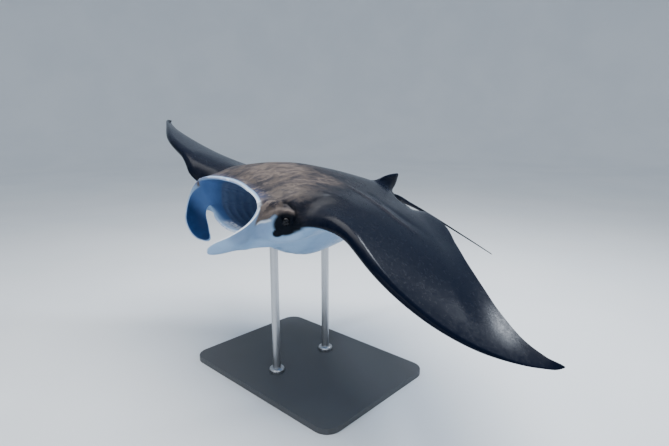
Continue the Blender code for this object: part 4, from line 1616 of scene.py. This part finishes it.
    def inside(self, s: Sheet, f: SkinFields) -> Socket:
        """Colour of the mouth: blue walls, a pale patch on the floor, and a dark throat with arches,
        darkened deeper in as painted shade.

        Args:
            s: The material's sheet.
            f: Places and noises.

        Returns:
            The colour.
        """
        walls = s.mix(f.cloud.step(0.35, 0.65) * 0.5, self.mouth, self.slate)
        floor = f.z.step(-0.135, -0.150) * f.across.step(0.085, 0.045)
        floor = floor * f.y.step(0.055, 0.075) * f.y.step(0.150, 0.125)
        blots = s.noise(f.place, 55.0, 2.0, 0.5, 0.4)
        walls = s.mix(floor * blots.step(0.62, 0.50, 0.35, 1.0), walls, self.rim)
        # Painted shade: deeper in the mouth the walls give way to the darker throat colour.
        throat_shade = (f.y + (f.cloud - 0.5) * 0.03).step(0.126, 0.144)
        throat = s.mix(f.fine.step(0.35, 0.75) * 0.3, self.throat, self.slate)
        throat = s.mix(s.mask("arches") * 0.7, throat, self.arch)
        return s.mix(throat_shade, walls, throat)


@dataclass(frozen=True)
class EyeFinish:
    """Glossy dark eye."""

    colour: Colour = tone(5, 7, 11)
    cloud_colour: Colour = tone(16, 18, 24)
    roughness: float = 0.18
    specular: float = 0.14

    def material(self) -> Material:
        """Near black colour from soft noise.

        Returns:
            The material.
        """
        s = Sheet("eye")
        cloud = s.noise(s.object_place(), 90.0, 3.0)
        colour = s.mix(cloud.step(0.3, 0.7), self.colour, self.cloud_colour)
        return s.dress(Base_Color=colour, Roughness=self.roughness, Specular_IOR_Level=self.specular)


@dataclass(frozen=True)
class PaintFinish:
    """Satin paint on the stand's base."""

    colour: Colour = tone(60, 62, 66)
    cloud_colour: Colour = tone(74, 76, 80)
    roughness: Span = (0.42, 0.52)

    def material(self) -> Material:
        """Satin paint with a fine spray grain and faint cloudiness.

        Returns:
            The material.
        """
        s = Sheet("stand_base")
        place = s.object_place()
        cloud = s.noise(place, 4.0, 4.0, 0.6)
        grain = s.noise(place, 900.0, 2.0)
        colour = s.mix(cloud.step(0.3, 0.7) * 0.4, self.colour, self.cloud_colour)
        s.bump(grain, 0.0004, 0.5)
        return s.dress(Base_Color=colour, Roughness=cloud.step(0.3, 0.7, *self.roughness))


@dataclass(frozen=True)
class SteelFinish:
    """Brushed steel of the rods."""

    colour: Colour = tone(172, 174, 178)
    line_colour: Colour = tone(196, 198, 202)
    roughness: Span = (0.26, 0.40)

    def material(self) -> Material:
        """Metal whose brushing runs along the rods, from noise stretched upwards.

        Returns:
            The material.
        """
        s = Sheet("stand_rod")
        place = s.object_place()
        brushed = s.noise(s.stretched(place, (1.0, 1.0, 0.02)), 900.0, 3.0)
        colour = s.mix(brushed.step(0.3, 0.7) * 0.5, self.colour, self.line_colour)
        s.bump(brushed, 0.0003, 0.4)
        gloss = brushed.step(0.2, 0.8, *self.roughness)
        return s.dress(Base_Color=colour, Metallic=1.0, Roughness=gloss)


# ---------------------------------------------------------------- pieces


@dataclass
class Animal:
    """The animal: its skin and its two eyes."""

    skin: Skin = field(default_factory=Skin)
    eye_radius: float = 0.0205
    eye_rows: int = 25
    eye_columns: int = 40
    cornea_rise: float = 0.08
    cornea_power: int = 6

    def dress(self) -> None:
        """Build the skin and the eyes, and put them in place of their solids."""
        points, quads, masks = self.skin.build()
        item = mesh_object("manta_skin", points, quads, SkinFinish().material())
        add_masks(item, masks)
        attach(item, "root")
        nodes = ["head", "lower_jaw", "trunk", "dorsal_fin", "tail_base", "tail_middle", "tail_tip"]
        for side in ("left", "right"):
            nodes += [f"cephalic_lobe_{side}", f"pectoral_fin_{side}_inner", f"pectoral_fin_{side}_outer"]
            nodes.append(f"pelvic_fin_{side}")
        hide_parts(*nodes)
        log.info("skin: %d points, %d quads", len(points), len(quads))
        finish = EyeFinish().material()
        for side in Side:
            self.eye(side, finish)

    def eye(self, side: Side, finish: Material) -> None:
        """A ball with a slightly raised cornea, at its place on the head.

        Its profile is turned about the outward axis. The radius is the eye's times 1 plus
        the cornea's rise times cos(angle from that axis) to the cornea's power.

        Args:
            side: Which eye.
            finish: Its material.
        """
        name, across = side.name.lower(), (side.value, 1, 1)
        polar = np.linspace(0.0, math.pi, self.eye_rows)
        cornea = np.maximum(np.cos(polar), 0) ** self.cornea_power
        radius = self.eye_radius * (1 + self.cornea_rise * cornea)
        points = turned(radius * np.sin(polar), radius * np.cos(polar), self.eye_columns)
        points, faces = without_poles(np.roll(points, 1, axis=-1), (0, -1))
        points = (points + np.array(self.skin.eye_place)) * across
        if side is Side.RIGHT:
            faces = [face[::-1] for face in faces]
        item = mesh_object(f"manta_eye_{name}", self.skin.form.to_stand(points), faces, finish)
        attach(item, "root")
        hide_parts(f"eye_{name}")
        log.info("%s: %d faces", item.name, len(faces))


@dataclass
class Studio:
    """Floor, backdrop, lights and camera."""

    lens: float = 25.56
    pivot: Point = (0.0, 0.0, 0.98)
    camera_from_pivot: Point = (1.839, -1.728, 0.402)
    azimuth: float = 42.8
    elevation: float = 12.0
    floor_middle: float = 6.0
    floor_bend: float = 6.0
    floor_reach: float = 20.0
    floor_steps: int = 24
    floor_columns: int = 96
    wall_height: float = 15.0
    floor_colour: Colour = tone(222, 227, 232)
    floor_cloud: Colour = tone(228, 232, 236)
    surround: Colour = (0.80, 0.87, 0.95)
    surround_strength: float = 0.80

    def floor(self) -> None:
        """A round floor that curves up into a low wall, the same from every side.

        Its profile is flat, then a quarter circle, then upright, turned about the vertical.
        """
        bend, reach = self.floor_bend, self.floor_reach
        turn = np.linspace(0.0, math.pi / 2, self.floor_steps + 1)
        away = np.concatenate([[0.0, self.floor_middle], reach - bend + bend * np.sin(turn), [reach]])
        height = np.concatenate([[0.0, 0.0], bend * (1 - np.cos(turn)), [self.wall_height]])
        points, faces = without_poles(turned(away, height, self.floor_columns), (0,))
        s = Sheet("studio_floor")
        cloud = s.noise(s.object_place(), 0.6, 3.0)
        colour = s.mix(cloud.step(0.3, 0.7), self.floor_colour, self.floor_cloud)
        finish = s.dress(Base_Color=colour, Roughness=0.85)
        mesh_object("studio_floor", points, faces, finish)

    def light(
        self, name: str, place: Point, aim: Point, size: Span, power: float, colour: Colour
    ) -> None:
        """A rectangular soft light that faces a place.

        Args:
            name: Name of the light.
            place: Where it hangs.
            aim: Where it points.
            size: Its width and height.
            power: Its watts.
            colour: Its colour.
        """
        data = bpy.data.lights.new(name, "AREA")
        data.shape = "RECTANGLE"
        data.size, data.size_y = size
        data.energy = power
        data.color = colour
        item = bpy.data.objects.new(name, data)
        item.location = place
        item.rotation_euler = (Vector(aim) - Vector(place)).to_track_quat("-Z", "Y").to_euler()
        bpy.context.scene.collection.objects.link(item)

    def lights(self) -> None:
        """A broad light overhead, one for the near wing's sheen, soft fills and a pale surround."""
        for name, place, aim, size, power, colour in (
            ("overhead", (-0.2, 0.2, 4.6), (0.0, 0.1, 0.9), (3.4, 2.6), 270.0, (1.0, 0.99, 0.97)),
            ("wing_sheen", (1.03, 2.46, 4.02), (1.15, -0.05, 0.66), (0.5, 0.9), 115.0, (0.84, 0.91, 1.0)),
            ("front_fill", (1.2, -4.4, 1.5), (0.0, 0.0, 0.9), (2.4, 1.8), 48.0, (0.88, 0.94, 1.0)),
            ("near_side_fill", (4.6, -2.0, 2.2), (0.2, -0.3, 0.9), (2.0, 1.8), 42.0, (0.94, 0.97, 1.0)),
        ):
            self.light(name, place, aim, size, power, colour)
        world = bpy.data.worlds.new("surround")
        bpy.context.scene.world = world
        world.use_nodes = True
        background = world.node_tree.nodes["Background"]
        background.inputs["Color"].default_value = (*self.surround, 1.0)
        background.inputs["Strength"].default_value = self.surround_strength

    def camera(self) -> None:
        """The camera, level across, at its angle to the animal."""
        data = bpy.data.cameras.new("camera")
        data.lens = self.lens
        data.clip_end = 100.0
        item = bpy.data.objects.new("camera", data)
        item.location = Vector(self.pivot) + Vector(self.camera_from_pivot)
        item.rotation_euler = (math.radians(90 - self.elevation), 0.0, math.radians(self.azimuth))
        bpy.context.scene.collection.objects.link(item)
        bpy.context.scene.camera = item

    def set_up(self) -> None:
        """Build the studio."""
        self.floor()
        self.lights()
        self.camera()


@dataclass
class DisplayStand:
    """The stand's base and rods, with a turned collar round the foot of each rod."""

    collar_width: float = 0.020
    collar_height: float = 0.024
    clearance: float = 0.0004
    bevel: float = 0.0012
    shoulder: Span = (0.25, 0.45)
    shoulder_steps: int = 16
    columns: int = 96

    def collar(self, end: str, finish: Material) -> None:
        """A closed ring on the base round a rod.

        Its profile runs out along the base, up a small bevel, over a quarter ellipse to the
        rod and down beside it, and is turned about the rod's axis.

        Args:
            end: Which rod, front or rear.
            finish: Its material.
        """
        low, high = (np.asarray(corner, float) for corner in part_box("stand_rod_" + end))
        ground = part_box("stand_base")[1][2]
        centre, inner = (low + high) / 2, (high[0] - low[0]) / 2 + self.clearance
        width, height, bevel = self.collar_width, self.collar_height, self.bevel
        turn = np.linspace(0.0, math.pi / 2, self.shoulder_steps + 1)
        flat = np.array([[0.0, 0.0], [width - bevel, 0.0], [width, bevel], [width, 2 * bevel]])
        near, low_part = self.shoulder
        curved = np.stack([
            near * width + (1 - near) * width * np.cos(turn),
            low_part * height + (1 - low_part) * height * np.sin(turn),
        ], axis=1)
        lip = np.array([[2 * bevel, height], [bevel, height], [0.0, height - bevel], [0.0, bevel]])
        profile = np.concatenate([flat, curved, lip])
        points = turned(inner + profile[:, 0], ground + profile[:, 1], self.columns)
        points = points + np.array([centre[0], centre[1], 0.0])
        numbers = np.arange(points.shape[0] * points.shape[1]).reshape(points.shape[:2])
        numbers = np.pad(numbers, ((0, 1), (0, 1)), mode="wrap")
        points, quads = points.reshape(-1, 3), grid_quads(numbers)
        if signed_volume(points, quads) < 0:
            quads = quads[:, ::-1]
        item = mesh_object("stand_collar_" + end, points, quads, finish)
        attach(item, "root")
        log.info("%s: %d quads", item.name, len(quads))

    def dress(self) -> None:
        """Give the stand's solids their finishes and add the collars."""
        paint, steel = PaintFinish().material(), SteelFinish().material()
        pieces = {"stand_base": paint, "stand_rod_front": steel, "stand_rod_rear": steel}
        for name, finish in pieces.items():
            item = bpy.data.objects[name]
            item.data.materials.clear()
            item.data.materials.append(finish)
        for end in ("front", "rear"):
            self.collar(end, steel)


def main() -> None:
    """Build every piece in order."""
    logging.basicConfig(level=logging.INFO, format="%(message)s")
    Animal().dress()
    DisplayStand().dress()
    Studio().set_up()


if __name__ == "__main__":
    main()
